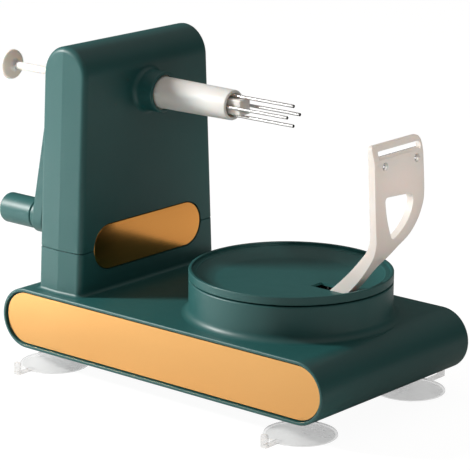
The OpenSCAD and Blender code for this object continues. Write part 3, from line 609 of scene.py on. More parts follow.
@dataclass(frozen=True)
class TineSteel(Finish):
    """Bright drawn wire with darker ends where it was cut.

    Attributes:
        colour: The wire's colour.
        cut: Colour of the cut ends.
        cut_from: Place along x where the cut ends start, in metres.
    """

    colour: Colour
    cut: Colour
    cut_from: float

    def feeds(self, graph: Graph) -> dict:
        """Add the nodes of this finish.

        Args:
            graph: The material's nodes.

        Returns:
            The values and wires for the shader.
        """
        spot = graph.node("TexCoord", out="Object")
        along = graph.node("SeparateXYZ", {}, {"Vector": spot}, "X")
        ends = along > self.cut_from
        drawn = graph.noise(graph.place((60.0, 2600.0, 2600.0)), 1.0, 3.0)
        colour = graph.mix(ends, graph.mix(drawn, shade(self.colour, 0.86), self.colour), self.cut)
        rough = ends * 0.3 + (drawn - 0.5) * 0.10 + 0.2
        return {"Base Color": colour, "Roughness": rough, "Metallic": 1.0 - ends * 0.4,
                "Normal": graph.bump(drawn, 0.00002, 0.25)}


@dataclass(frozen=True)
class Silicone(Finish):
    """Clear soft silicone with a milky body and a dusty skin.

    Attributes:
        colour: Its colour.
        body: Share of the surface that hides what is behind it.
        rough: Its mean roughness.
    """

    colour: Colour
    body: float
    rough: float

    def feeds(self, graph: Graph) -> dict:
        """Add the nodes of this finish.

        Args:
            graph: The material's nodes.

        Returns:
            The values and wires for the shader.
        """
        spot = graph.place()
        cloud = graph.noise(spot, 60.0, 3.0)
        dust = graph.noise(spot, 1500.0, 2.0)
        colour = graph.mix(cloud, shade(self.colour, 0.95), self.colour)
        rough = (cloud - 0.5) * 0.08 + (dust - 0.5) * 0.12 + self.rough
        alpha = (cloud - 0.5) * 0.12 + self.body
        return {"Base Color": colour, "Roughness": rough, "Normal": graph.bump(dust, 0.00003, 0.2),
                "Alpha": alpha, "IOR": 1.41}


ROLLED = (30.0, 30.0, 3200.0)
TUMBLED = (900.0, 900.0, 900.0)
FINISHES = {
    "green_plastic": Plastic("green_satin", linear("#205958"), 0.45, 0.00004, 0.06, 0.62, 0.0),
    "white_plastic": Plastic("white_gloss", linear("#ece8e4"), 0.5, 0.00001, 0.02, 0.4, 0.6),
    "cream_plastic": Plastic("cream_gloss", linear("#eae4df"), 0.36, 0.00002, 0.02, 0.45, 0.35),
    "nylon": Plastic("natural_nylon", linear("#e6dec8"), 0.45, 0.00002, 0.04, 0.45, 0.3),
    "gold_metal": Metal("gold_satin", linear("#f4be7a"), linear("#eab06c"), 0.20, ROLLED, 0.00001),
    "steel": Metal("bright_steel", (0.64, 0.64, 0.65), (0.52, 0.52, 0.53), 0.26, TUMBLED, 0.00001),
    "silicone": Silicone("clear_silicone", linear("#dadbdc"), 0.3, 0.3),
}
# Copy of the gold for the oval plate: its lower roughness is a real polish, and its deeper orange colour is
# a painted reflection of darker, warmer surroundings.
POLISHED_GOLD_PAINTED_REFLECTION = Metal("gold_polished_painted_reflection", (0.98, 0.44, 0.11), (0.96, 0.41, 0.10), 0.14, ROLLED, 0.000005)
TINE_STEEL = TineSteel("tine_steel", (0.78, 0.78, 0.79), (0.012, 0.012, 0.013), 0.07155)


class Dresser:
    """Turns shapes into pieces that ride on the frame, and gives every piece its finish."""

    def __init__(self) -> None:
        """Build one material for each slot of the record."""
        self.looks = {slot: finish.material() for slot, finish in FINISHES.items()}
        self.count = 0

    def piece(self, form: Form, name: str, body: str, slot: str, nodes: Sequence[str],
              edge: float = 0.0, crisp: float = 32.0,
              crease: Optional[Callable[[Vector, Vector], bool]] = None) -> bpy.types.Object:
        """Make a piece from a shape.

        Args:
            form: The shape, in millimetres.
            name: Name of the piece.
            body: The body that it moves with.
            slot: The record's material slot that gives its finish.
            nodes: The solids that it stands for.
            edge: Radius along its sharp edges, in millimetres.
            crisp: Angle in degrees from which an edge stays sharp.
            crease: Tells from an edge's two ends whether it is sharp at any angle.

        Returns:
            The piece.
        """
        work = form.bm
        for line in work.edges:
            flat = not line.is_manifold or line.calc_face_angle(0.0) > math.radians(crisp)
            line.smooth = not (flat or (crease and crease(line.verts[0].co, line.verts[1].co)))
        for side in work.faces:
            side.smooth = True
        bmesh.ops.scale(work, vec=(MM, MM, MM), verts=work.verts[:])
        mesh = bpy.data.meshes.new(name)
        work.to_mesh(mesh)
        work.free()
        made = stand(name, mesh)
        if edge > 0:
            rounding = made.modifiers.new("edges", "BEVEL")
            rounding.width = edge * MM
            rounding.segments = 3
            rounding.limit_method = "ANGLE"
            rounding.angle_limit = math.radians(crisp)
        normals = made.modifiers.new("normals", "WEIGHTED_NORMAL")
        normals.keep_sharp = True
        mesh.materials.append(self.looks[slot])
        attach(made, body)
        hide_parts(*nodes)
        self.count += 1
        log.info("%s rides on %s for %s: %d faces", name, body, ", ".join(nodes), len(mesh.polygons))
        return made

    def solids(self) -> None:
        """Give every solid that still shows the finish of its own slot."""
        for row in frame["record"]["subparts"]:
            node = frame["nodes"][row["node"]]
            if node.hide_render:
                continue
            node.data.materials.clear()
            node.data.materials.append(self.looks[row["material_slot"]])
            log.info("%s stays, in %s", row["node"], row["material_slot"])


@dataclass
class Tower:
    """The tapered tower with a ridge down each narrow side.

    Attributes:
        x: Its middle along X.
        half: Half its thickness.
        foot_z: Level of its foot.
        top_z: Level of its top.
        foot_half: Half its width at the foot.
        top_half: Half its width at the top.
        ridge: Height of the ridge.
        wall: Thickness of its wall.
        edge: Radius along its upright edges.
        seam_z: Level of the seam.
        seam: Gap at the seam.
        lip: Radius along the foot's edge at the seam.
        fillet: Radius of the fillet at the foot.
        root_z: Level that its block starts at, inside the base.
        ridge_from: Distance from its middle along Y past which an edge can be a ridge.
        axis_z: Level of the spindle axis.
        collar_r: Radius of both collars.
        collar_l: Length of the front collar.
        rear_l: Length of the rear collar.
        flare: How far the front collar spreads at its foot.
        flare_r: Radius of the fillet there.
        bush_r: Radius of the seat of the front bush.
        bore_r: Radius of the front collar's bore.
        rear_bore_r: Radius of the rear collar's bore.
        screw_r: Radius of the screw holes.
        screw_y: Distance of the screw holes from the middle along Y.
        oval_z: Level of the oval plate's middle.
        oval_l: Length of the oval plate.
        oval_h: Height of the oval plate.
        oval_t: Thickness of the oval plate.
        oval_in: How far the oval plate's face lies inside the tower's.
        oval_gap: Gap round the oval plate.
    """

    x: float = -48.6667
    half: float = 16.0
    foot_z: float = 46.2
    top_z: float = 184.4
    foot_half: float = 57.1
    top_half: float = 50.15
    ridge: float = 1.3
    wall: float = 3.0
    edge: float = 3.2
    seam_z: float = 70.5
    seam: float = 0.3
    lip: float = 0.5
    fillet: float = 2.2
    root_z: float = 40.0
    ridge_from: float = 40.0
    axis_z: float = 155.3
    collar_r: float = 11.5
    collar_l: float = 12.3
    rear_l: float = 5.8
    flare: float = 2.6
    flare_r: float = 2.59
    bush_r: float = 10.21
    bore_r: float = 9.75
    rear_bore_r: float = 9.26
    screw_r: float = 3.1
    screw_y: float = 42.0
    oval_z: float = 71.1
    oval_l: float = 89.2
    oval_h: float = 25.6
    oval_t: float = 1.2
    oval_in: float = 0.4
    oval_gap: float = 0.6

    def block(self, inset: float, low: float, edge: float) -> Form:
        """Make the tower's form as one solid.

        Args:
            inset: How far it lies inside the real surface.
            low: Level that it starts at.
            edge: Radius along its upright edges.

        Returns:
            The form.
        """
        half, top = self.half - inset, self.top_z - inset
        left, right, bend = self.x - half, self.x + half, half - HAIR
        form = Form.plate([(left, low, 0), (right, low, 0), (right, top, bend), (left, top, bend)],
                          Plane.XZ, -1.0, 1.0, 16)
        form.split((self.x, 0, 0), (1, 0, 0))
        taper = (self.top_half - self.foot_half) / (self.top_z - self.foot_z)
        slope = self.ridge / half
        for side in (-1, 1):
            foot = self.foot_half + self.ridge - inset - taper * self.foot_z
            form.skew(lambda p: p.y * side > 0.5, (0, 0, side * taper, side * (foot - 1.0)))
            for way in (-1, 1):
                form.skew(lambda p: p.y * side > 0.5 and (p.x - self.x) * way > 0.01,
                          (-side * way * slope, 0, 0, side * way * slope * self.x))
        if edge > 0:
            form.round_edges(lambda a, b: a.y * b.y > 0 and max(a.z, b.z) > low + 0.01
                             and not self.on_ridge(a, b), edge, 6)
        return form

    def on_ridge(self, a: Vector, b: Vector) -> bool:
        """Tell whether an edge lies along a ridge."""
        return all(abs(p.x - self.x) < 0.02 for p in (a, b)) and a.y * b.y > self.ridge_from ** 2

    def at_foot(self, a: Vector, b: Vector) -> bool:
        """Tell whether an edge lies round the foot, where the tower meets the base."""
        return all(abs(p.z - self.foot_z) < 0.01 and abs(p.x - self.x) < self.half + 0.05
                   and abs(p.y) < self.foot_half + self.ridge + 0.05 for p in (a, b))

    def core(self, low: float) -> Form:
        """Make the hollow inside the tower."""
        return self.block(self.wall, low, 0.0)

    def oval_pocket(self) -> Form:
        """Make the pocket of the oval plate.

        Returns:
            The pocket, as a shape that is cut out.
        """
        face = self.x + self.half
        size = (self.oval_l + 2 * self.oval_gap, self.oval_h + 2 * self.oval_gap)
        return Form.pill((0, self.oval_z), size, Plane.YZ, face - 1.6, face + 2)

    def foot(self) -> Form:
        """Make the part of the tower below the seam."""
        block = self.block(0, self.root_z, self.edge)
        return block.keep_below((0, 0, self.seam_z), (0, 0, 1), self.lip)

    def hood(self) -> Form:
        """Make the part of the tower above the seam, with both collars and the screw holes.

        Returns:
            The form.
        """
        front, rear = self.x + self.half, self.x - self.half
        axis = (0.0, self.axis_z)
        form = self.block(0, self.root_z, self.edge)
        form.keep_below((0, 0, self.seam_z + self.seam), (0, 0, -1), self.lip / 2)
        tip, tail, out = front + self.collar_l, rear - self.rear_l, self.collar_r
        wide, foot = out + self.flare, front - 0.03
        form.fuse(
            Form.turned([(5, front - 2, 0), (wide, front - 2, 0), (wide, foot, 0),
                         (out, foot, self.flare_r), (out, tip, 0.8), (5, tip, 0)],
                        Axis.X, axis, 96, 6),
            Form.turned([(5, rear + 2, 0), (5, tail, 0), (out, tail, 0.8), (out, rear + 2, 0)],
                        Axis.X, axis, 96, 6))
        tools = [self.core(low=60.0), self.oval_pocket(),
                 Form.rod(self.bush_r, rear + 6, front + 10.3, Axis.X, axis, 96),
                 Form.rod(self.bore_r, front + 5, front + 15, Axis.X, axis, 96),
                 Form.rod(self.rear_bore_r, rear - 8, rear + 8, Axis.X, axis, 96)]
        tools += [Form.rod(self.screw_r, rear - 2, rear + 6, Axis.X, (y, z), 32)
                  for y in (-self.screw_y, self.screw_y) for z in (self.seam_z + 14, self.axis_z - 6)]
        for tool in tools:
            form.cut(tool).tidy()
        return form

    def dress(self, dresser: Dresser) -> None:
        """Make the tower's hood and its oval plate.

        Args:
            dresser: What turns the shapes into pieces.
        """
        dresser.piece(self.hood(), "tower_hood", "housing", "green_plastic",
                      ("tower_front_cover", "tower_rear_cover"), crease=self.on_ridge)
        face = self.x + self.half - self.oval_in
        oval = Form.pill((0, self.oval_z), (self.oval_l, self.oval_h), Plane.YZ, face - self.oval_t, face)
        made = dresser.piece(oval, "oval_inlay", "housing", "gold_metal", ("oval_plate",), edge=0.3)
        # The oval plate takes the polished gold, whose deeper orange colour is a painted reflection.
        made.data.materials[0] = POLISHED_GOLD_PAINTED_REFLECTION.material()


@dataclass
class BaseCase:
    """The pill-shaped base with the drum, the end panels and the suction feet.

    Attributes:
        x: Its middle along X.
        length: Its length.
        depth: Its depth across Y.
        bottom: Level of its underside.
        height: Its height.
        wall: Thickness of its wall.
        rim: Width of the rim round an end panel.
        recess: Depth of the panel's recess.
        lip: Radius along the rims' outer edges.
        inner_lip: Radius along the rims' inner edges.
        gap: Gap between a panel and its rim.
        panel_in: How far a panel's face lies inside its rim.
        drum_x: Middle of the drum along X.
        drum_r: Radius of the drum.
        drum_top: Level of the drum's top.
        fillet: Radius of the fillet at the drum's foot.
        foot_xs: Places of the left and right feet along X.
        foot_y: Distance of the feet from the middle along Y.
    """

    x: float = 29.5333
    length: float = 230.0
    depth: float = 129.4
    bottom: float = 11.6
    height: float = 34.6
    wall: float = 2.6
    rim: float = 1.8
    recess: float = 2.6
    lip: float = 0.9
    inner_lip: float = 0.35
    gap: float = 0.8
    panel_in: float = 1.4
    drum_x: float = 71.3333
    drum_r: float = 55.66
    drum_top: float = 65.9
    fillet: float = 4.6
    foot_xs: tuple[float, float] = (-61.4667, 117.5333)
    foot_y: float = 48.0

    def pill(self, inset: float, low: float, high: float) -> Form:
        """Make the base's pill, inset all round, between two places across Y."""
        return Form.pill((self.x, self.bottom + self.height / 2),
                         (self.length - 2 * inset, self.height - 2 * inset), Plane.XZ, low, high)

    def drum(self) -> Form:
        """Make the drum with the fillet at its foot.

        Returns:
            The drum's wall.
        """
        top = self.bottom + self.height
        foot = top - 0.04
        return Form.turned([
            (self.drum_r - 8, top - 1.4, 0), (self.drum_r + self.fillet, top - 1.4, 0),
            (self.drum_r + self.fillet, foot, 0), (self.drum_r, foot, self.fillet - 0.01),
            (self.drum_r, self.drum_top, 0.9), (self.drum_r - 8, self.drum_top, 0)],
            Axis.Z, (self.drum_x, 0), 144, 8)

    def case(self, tower: Tower) -> Form:
        """Make the whole shell with the tower's foot on it.

        Args:
            tower: The tower that stands on it.

        Returns:
            The shell.
        """
        half = self.depth / 2
        form = self.pill(0, -half, half)
        form.round_edges(lambda a, b: abs(a.y - b.y) < 0.001 and abs(abs(a.y) - half) < 0.001, self.lip, 5)
        form.fuse(self.drum(), tower.foot())
        form.round_edges(tower.at_foot, tower.fillet, 5)
        inner = half - self.recess - self.wall
        hatch_x, hatch_y = self.length / 2 - self.height / 2 - 0.5, inner - 2.4
        hatch = Form.slab((self.x - hatch_x, self.x + hatch_x), (-hatch_y, hatch_y), Plane.XY,
                          self.bottom - 1, self.bottom + 4)
        form.cut(self.pill(self.wall, -inner, inner), hatch, tower.core(low=30.0), tower.oval_pocket(),
                 Form.rod(self.drum_r - self.wall, 30.0, self.drum_top + 2, Axis.Z, (self.drum_x, 0), 144))
        for side in (-1, 1):
            ends = sorted((side * (half - self.recess), side * (half + 1)))
            form.cut(self.pill(self.rim, *ends))
        return form.round_edges(self.on_rim, self.inner_lip, 3)

    def on_rim(self, a: Vector, b: Vector) -> bool:
        """Tell whether an edge is the inner edge of a panel's rim.

        Args:
            a: One end of the edge.
            b: Its other end.

        Returns:
            True where both ends lie on the rim's inner edge.
        """
        radius, mid_z = self.height / 2, self.bottom + self.height / 2
        straight = self.length / 2 - radius
        for p in (a, b):
            off = math.hypot(max(abs(p.x - self.x) - straight, 0.0), p.z - mid_z)
            if abs(abs(p.y) - self.depth / 2) > 0.01 or abs(off - radius + self.rim) > 0.02:
                return False
        return True

    def dress(self, dresser: Dresser, tower: Tower) -> None:
        """Make the case, both panels and the four feet.

        Args:
            dresser: What turns the shapes into pieces.
            tower: The tower that stands on the base.
        """
        dresser.piece(self.case(tower), "base_case", "housing", "green_plastic", ("base_shell",),
                      crease=tower.on_ridge)
        for side, node in ((-1, "front_panel"), (1, "rear_panel")):
            ends = sorted(side * (self.depth / 2 - inset) for inset in (self.panel_in, self.recess))
            dresser.piece(self.pill(self.rim + self.gap, *ends), node + "_plate", "housing", "gold_metal",
                          (node,), edge=0.12)
        for side, x in zip(("left", "right"), self.foot_xs):
            for row, out in (("front", -1), ("rear", 1)):
                node = f"foot_{row}_{side}"
                foot = SuctionFoot(x, out * self.foot_y, out, self.bottom)
                dresser.piece(foot.form(), node + "_cup", "housing", "silicone", (node,), edge=0.25,
                              crisp=40.0)


@dataclass
class SuctionFoot:
    """A suction cup with a neck through the bottom cover and a pull tab.

    Attributes:
        x: Its middle along X.
        y: Its middle along Y.
        out: The way that its tab points along Y.
        base: Level of the base's underside.
        radius: Radius of the cup.
        reach: Reach of the tab from the cup's middle.
        tab: Half the tab's width.
        tab_h: Level of the tab's top.
        cover: Thickness of the bottom cover that holds the neck.
    """

    x: float
    y: float
    out: int
    base: float
    radius: float = 19.7
    reach: float = 30.5
    tab: float = 2.0
    tab_h: float = 7.8
    cover: float = 2.6

    def form(self) -> Form:
        """Turn the cup and fuse its tab on.

        Returns:
            The foot.
        """
        held, rim = self.base + self.cover, self.radius
        cup = Form.turned([
            (0, held + 3, 0), (5.2, held + 3, 0.6), (5.2, held, 0), (3.49, held, 0), (3.49, self.base, 0),
            (7, self.base, 0.5), (7.2, 8.2, 2.5), (12.5, 2.4, 4.5), (rim - 0.4, 1.1, 0.4), (rim, 0.5, 0.3),
            (rim, 0, 0), (rim - 1.4, 0, 0), (12.5, 2.1, 4.0), (0, 2.8, 0)], Axis.Z, (self.x, self.y), 72, 5)
        left, right = self.x - self.tab, self.x + self.tab
        near, far = self.y + self.out * (self.radius - 2), self.y + self.out * (self.reach - 0.8)
        strap = Form.slab((left + 0.1, right - 0.1), (near, far), Plane.XY, 0.7, 1.7)
        ends = sorted((self.y + self.out * (self.reach - 1.8), self.y + self.out * self.reach))
        stop = Form.plate([(left, 0.6, 0.6), (right, 0.6, 0.6), (right, self.tab_h, 0.9),
                           (left, self.tab_h, 0.9)], Plane.XZ, *ends, 4)
        return cup.fuse(strap, stop)


@dataclass
class Spindle:
    """The tube that turns the fruit, the ejector in it and the crank on its rear end.

    Attributes:
        z: Level of the spindle axis.
        grip_z: Level of the grip's axis.
        mouth: Place of the tube's mouth along X.
        tail: Place of the tube's rear end along X.
        hub_in: Place of the hub's inner end along X.
        hub_out: Place of the hub's outer end along X.
        lean: How far the arm stands out at the grip.
        knob: Place of the knob's inner end along X.
        grip_end: Place of the grip's outer end along X.
        grip_in: Place of the grip's inner end along X.
        grip_r: Radius of the grip.
    """

    z: float = 155.3
    grip_z: float = 68.3
    mouth: float = 30.1333
    tail: float = -94.4667
    hub_in: float = -71.0667
    hub_out: float = -99.4667
    lean: float = 17.0
    knob: float = -133.9667
    grip_end: float = -144.5333
    grip_in: float = -119.3333
    grip_r: float = 9.0

    def tube(self) -> Form:
        """Turn the tube with its rounded mouth."""
        return Form.turned([
            (2.31, self.tail, 0), (8.0, self.tail, 0.4), (8.0, -40.0667, 0), (8.95, -40.0667, 0.3),
            (8.95, -20.3667, 0), (8.35, self.mouth, 0.9), (6.6, self.mouth, 0.5), (6.6, -4.4667, 0),
            (2.31, -4.4667, 0)], Axis.X, (0, self.z), 96, 5)

    def pusher(self) -> Form:
        """Make the ejector's square pusher, whose flats the tines run along."""
        half = 4.3
        return Form.slab((-half, half), (self.z - half, self.z + half), Plane.YZ, self.mouth - 8.6,
                         self.mouth + 7.6, 0.7, 5)

    def knob_form(self) -> Form:
        """Turn the ejector's dished knob."""
        x = self.knob
        return Form.turned([
            (2.26, x - 1.6, 0), (2.9, x - 1.6, 0.3), (3.2, x - 4.0, 1.2), (8.0, x - 5.0, 0.6),
            (8.8, x - 5.8, 0.5), (8.8, x - 7.4, 0.6), (7.9, x - 8.0, 0.5), (4.0, x - 6.6, 3.0),
            (0, x - 6.3, 0), (0, x - 3.01, 0), (2.26, x - 3.01, 0)], Axis.X, (0, self.z), 72)

    def crank(self) -> Form:
        """Make the leaning crank arm with its hub and the seat of the grip.

        Returns:
            The crank.
        """
        reach = self.z - self.grip_z
        slope = self.lean / reach
        thick, end = 9.0, 10.2
        rise, fall = end + 2.0, reach + end + 2.0
        top, foot = self.hub_out + slope * rise, self.hub_out - slope * fall
        slab = Form.plate([(top, self.z + rise, 0), (top + thick, self.z + rise, 0),
                           (foot + thick, self.z - fall, 0), (foot, self.z - fall, 0)], Plane.XZ, -30, 30)
        arm = Form.pill((0, (self.z + self.grip_z) / 2), (2 * end, reach + 2 * end), Plane.YZ, -140, -60)
        arm.join(slab, Join.COMMON)
        arm.round_edges(lambda a, b: self.on_face(a, b, slope, thick), 1.6, 5)
        seat_end = self.grip_in + 0.4
        seat_in, seat_r = seat_end + 8, self.grip_r
        hub_end, hub_r = self.hub_out + 0.4, 13.0
        hub = Form.turned([(0, self.hub_out + 2, 0), (0, self.hub_in, 0), (hub_r, self.hub_in, 1.2),
                           (hub_r, hub_end, 1.6), (0, hub_end, 0)], Axis.X, (0, self.z), 96)
        seat = Form.turned([(0, seat_end, 0), (seat_r, seat_end, 0.6), (seat_r, seat_in, 0),
                            (0, seat_in, 0)], Axis.X, (0, self.grip_z), 96)
        arm.fuse(hub, seat)
        rod_hole, tube_seat, screw_hole = 2.65, 8.01, 2.02
        arm.cut(Form.rod(rod_hole, -130, -60, Axis.X, (0, self.z), 32),
                Form.rod(tube_seat, self.tail, -60, Axis.X, (0, self.z), 64),
                Form.rod(screw_hole, self.z, self.z + 20, Axis.Z, (self.hub_in - 9, 0), 32))
        return arm.tidy()

    def on_face(self, a: Vector, b: Vector, slope: float, thick: float) -> bool:
        """Tell whether an edge lies along one of the arm's two leaning faces.

        Args:
            a: One end of the edge.
            b: Its other end.
            slope: How far the arm leans along X for each millimetre down.
            thick: The arm's thickness.

        Returns:
            True where both ends lie on the same face.
        """
        offs = [p.x - self.hub_out - slope * (p.z - self.z) for p in (a, b)]
        return any(all(abs(off - face) < 0.02 for off in offs) for face in (0.0, thick))

    def grip(self) -> Form:
        """Turn the grip's sleeve with the counterbore for its cap."""
        return Form.turned([
            (3.06, self.grip_in, 0), (self.grip_r, self.grip_in, 1.0), (self.grip_r, self.grip_end, 1.6),
            (5.8, self.grip_end, 0.3), (5.8, self.grip_end + 5.0, 0), (3.06, self.grip_end + 5.0, 0)],
            Axis.X, (0, self.grip_z), 96)

    def dress(self, dresser: Dresser) -> None:
        """Make the tube, the ejector, the crank and the grip.

        Args:
            dresser: What turns the shapes into pieces.
        """
        dresser.piece(self.tube(), "spindle_sleeve", "spindle", "white_plastic", ("spindle_tube",))
        dresser.piece(self.pusher(), "pusher_block", "ejector", "white_plastic", ("ejector_pusher",),
                      edge=0.35)
        dresser.piece(self.knob_form(), "ejector_button", "ejector", "white_plastic", ("ejector_knob",))
        dresser.piece(self.crank(), "crank_lever", "spindle", "green_plastic", ("crank_arm",))
        dresser.piece(self.grip(), "crank_handle", "grip", "green_plastic", ("grip_sleeve",))


@dataclass
class Turntable:
    """The lid that turns on the drum, and the peeler arm that stands in its slot.

    Attributes:
        x: Its middle along X.
        radius: Radius of the lid.
        low: Level of the lid's underside at the rim.
        top: Level of the rim's top.
        floor: Level of the lid's floor.
        slot_half: Half the width of the lid's slot.
        pivot_x: Place of the arm's pivot along X.
        pivot_z: Level of the arm's pivot.
        near: Place of the arm's near face along Y.
        far: Place of the head's far edge along Y.
        head_top: Level of the head's top.
        hole_ys: Places of the two holes along Y.
        hole_z: Level of the two holes.
        back_x: Place of the head's back face at the holes along X.
    """

    x: float = 71.3333
    radius: float = 55.66
    low: float = 66.7
    top: float = 71.2
    floor: float = 65.6
    slot_half: float = 4.5
    pivot_x: float = 93.2333
    pivot_z: float = 51.6
    near: float = -4.1
    far: float = 39.2
    head_top: float = 148.0
    hole_ys: tuple[float, float] = (5.2, 33.1)
    hole_z: float = 136.0
    back_x: float = 124.88

    def lid(self) -> Form:
        """Turn the lid with its rim, ledge and dished floor, and cut the arm's slot.

        Returns:
            The lid.
        """
        under, step = self.low - 2.6, self.top - 1.7
        form = Form.turned([
            (0, under - 5, 0), (12.5, under - 5, 0.4), (12.5, under, 0), (49.96, under, 0),
            (49.96, under - 1.6, 0.3), (52.36, under - 1.6, 0.4), (52.36, self.low, 0),
            (self.radius, self.low, 0.35), (self.radius, self.top, 0.5), (self.radius - 1.8, self.top, 0.4),
            (self.radius - 1.8, step, 0.2), (self.radius - 4.6, step, 0.3),
            (self.radius - 5.0, step - 0.6, 0.3), (44.5, self.floor, 5.0), (0, self.floor, 0)],
            Axis.Z, (self.x, 0), 160, 8)
        slot_in, slot_out = self.pivot_x - 4.8, self.pivot_x + 23.4
        return form.cut(Form.slab((slot_in, slot_out), (-self.slot_half, self.slot_half), Plane.XY, 55, 80,
                                  0.6, 4))

    def arm(self) -> Form:
        """Make the peeler arm from its side view and its front view, with its window, slot and holes.

        Returns:
            The arm without its eye.
        """
        x, z = self.pivot_x, self.pivot_z
        through = (x + 7, x + 45)
        side = Form.plate([(x + u, z + v, r) for u, v, r in (
            (3.236, -3.018, 0), (28.4, 23.5, 8), (38.4, 39.6, 6), (35.706, 88.4, 2.5), (33.2, 96.4, 0.8),
            (31.0, 96.4, 0.8), (34.2, 42.0, 6), (20.6, 25.4, 8), (-0.508, 5.944, 0), (-3.236, 3.018, 0))],
            Plane.XZ, self.near - 1, self.far + 1, 8)
        front = Form.plate([
            (self.near, z - 13, 0), (-self.near, z - 13, 0), (-self.near, z + 28, 3), (14.0, z + 38.6, 5),
            (27.0, z + 45.3, 6), (36.7, z + 55.5, 6), (self.far, z + 64, 5),
            (self.far - 0.6, self.head_top, 4.5), (self.near, self.head_top, 2.2)],
            Plane.YZ, x - 13, x + 45, 8)
        form = side.join(front, Join.COMMON)
        window = Form.plate([
            (4.3, z + 67.8, 2.5), (29.4, z + 66.4, 4.5), (28.8, z + 60, 3), (25.5, z + 54, 3),
            (18.5, z + 48, 4), (9.6, z + 43.7, 2.6), (5.4, z + 56, 6)], Plane.YZ, *through, 8)
        left, right, low, high = 0.2, 37.2, self.head_top - 6.8, self.head_top - 3.4
        slot = Form.slab((left, right), (low, high), Plane.YZ, *through, 0.8, 4)
        thin = Form.plate([(x + 25, low - 1, 0), (x + 33.4, low - 1, 0), (x + 32.3, high + 0.5, 0),
                           (x + 25, high + 0.5, 0)], Plane.XZ, left - 0.5, right + 0.5)
        slope = Form.plate([(x + 33.2, low + 0.1, 0), (x + 36.4, low - 1.7, 0), (x + 40, low - 1.7, 0),
                            (x + 40, low + 0.1, 0)], Plane.XZ, left + 0.2, right - 0.2)
        form.cut(window, slot, thin, slope)
        for y in self.hole_ys:
            form.cut(Form.rod(2.3, *through, Axis.X, (y, self.hole_z), 32))
        return form

    def eye(self) -> Form:
        """Make the arm's eye round the pivot pin.

        Returns:
            The eye.
        """
        pivot, half = (self.pivot_x, self.pivot_z), -self.near
        outer, bore = 13.0, 4.12
        eye = Form.pill(pivot, (outer, outer), Plane.XZ, -half, half)
        return eye.cut(Form.pill(pivot, (bore, bore), Plane.XZ, -half - 1, half + 1))

    def blade(self) -> Form:
        """Make the blade behind the head, with its ground edge under the slot and two holes.

        Returns:
            The blade.
        """
        x, level = self.back_x, self.hole_z
        form = Form.plate([(x + 0.19, level - 4, 0), (x - 0.31, level + 4.4, 0), (x - 0.75, level + 4.6, 0),
                           (x - 1.06, level + 3.8, 0), (x - 0.61, level - 4, 0)], Plane.XZ, -1.0, 38.4)
        for y in self.hole_ys:
            form.cut(Form.rod(2.26, x - 5, x + 5, Axis.X, (y, level), 48))
        return form

    def rivets(self) -> Form:
        """Turn the two hollow rivets that hold the blade at the arm's holes.

        Returns:
            Both rivets.
        """
        x = self.back_x
        first, second = (Form.turned([
            (1.95, x - 1.25, 0.15), (3.0, x - 1.25, 0.2), (3.0, x - 0.95, 0.1), (2.25, x - 0.95, 0),
            (2.25, x + 2.4, 0.1), (1.95, x + 2.4, 0)], Axis.X, (y, self.hole_z), 48)
            for y in self.hole_ys)
        return first.fuse(second)

    def dress(self, dresser: Dresser) -> None:
        """Make the lid, the arm, the blade and its rivets.

        Args:
            dresser: What turns the shapes into pieces.
        """
        dresser.piece(self.lid(), "turntable_dish", "turntable", "green_plastic", ("turntable_lid",))
        arm = self.arm().fuse(self.eye())
        dresser.piece(arm, "peeler_lever", "arm", "cream_plastic", ("peeler_arm",), edge=0.45, crisp=28.0)
        dresser.piece(self.blade(), "blade_strip", "arm", "steel", ("blade",))
        dresser.piece(self.rivets(), "blade_rivets", "arm", "steel", ("blade_screws",))


@dataclass(frozen=True)
class Lamp:
    """A softbox.

    Attributes:
        name: Its name.
        place: Where it stands, in metres.
        aim: The point that it is turned to, in metres.
        size: Its width and its height, in metres.
        power: Its power, in watts.
        spread: Full angle of its beam, in degrees.
        colour: Its colour.
    """

    name: str
    place: Corner
    aim: Corner
    size: tuple[float, float]
    power: float
    spread: float = 180.0
    colour: Colour = (1.0, 1.0, 1.0)

    def hang(self) -> None:
        """Hang the lamp in the scene."""
        light = bpy.data.lights.new(self.name, "AREA")
        light.shape = "RECTANGLE"
        light.size, light.size_y = self.size
        light.energy = self.power
        light.spread = math.radians(self.spread)
        light.color = self.colour
        made = stand(self.name, light)
        made.location = self.place
        made.rotation_euler = (Vector(self.aim) - Vector(self.place)).to_track_quat("-Z", "Y").to_euler()


LAMPS = (
    Lamp("key", (-0.648, -0.528, 0.511), (0.015, -0.002, 0.08), (0.12, 0.16), 11.0,
         colour=(1.0, 0.985, 0.96)),
    Lamp("pool", (-0.38, -0.44, 0.50), (-0.35, -0.29, 0.0), (0.15, 0.15), 0.55, 46.0),
    Lamp("rear_pool", (0.24, 0.42, 0.50), (0.14, 0.22, 0.0), (0.10, 0.10), 0.026, 25.0),
    Lamp("arm_fill", (0.62, -0.22, 0.27), (0.13, 0.022, 0.128), (0.06, 0.06), 0.012, 14.0,
         (1.0, 0.93, 0.88)),
)


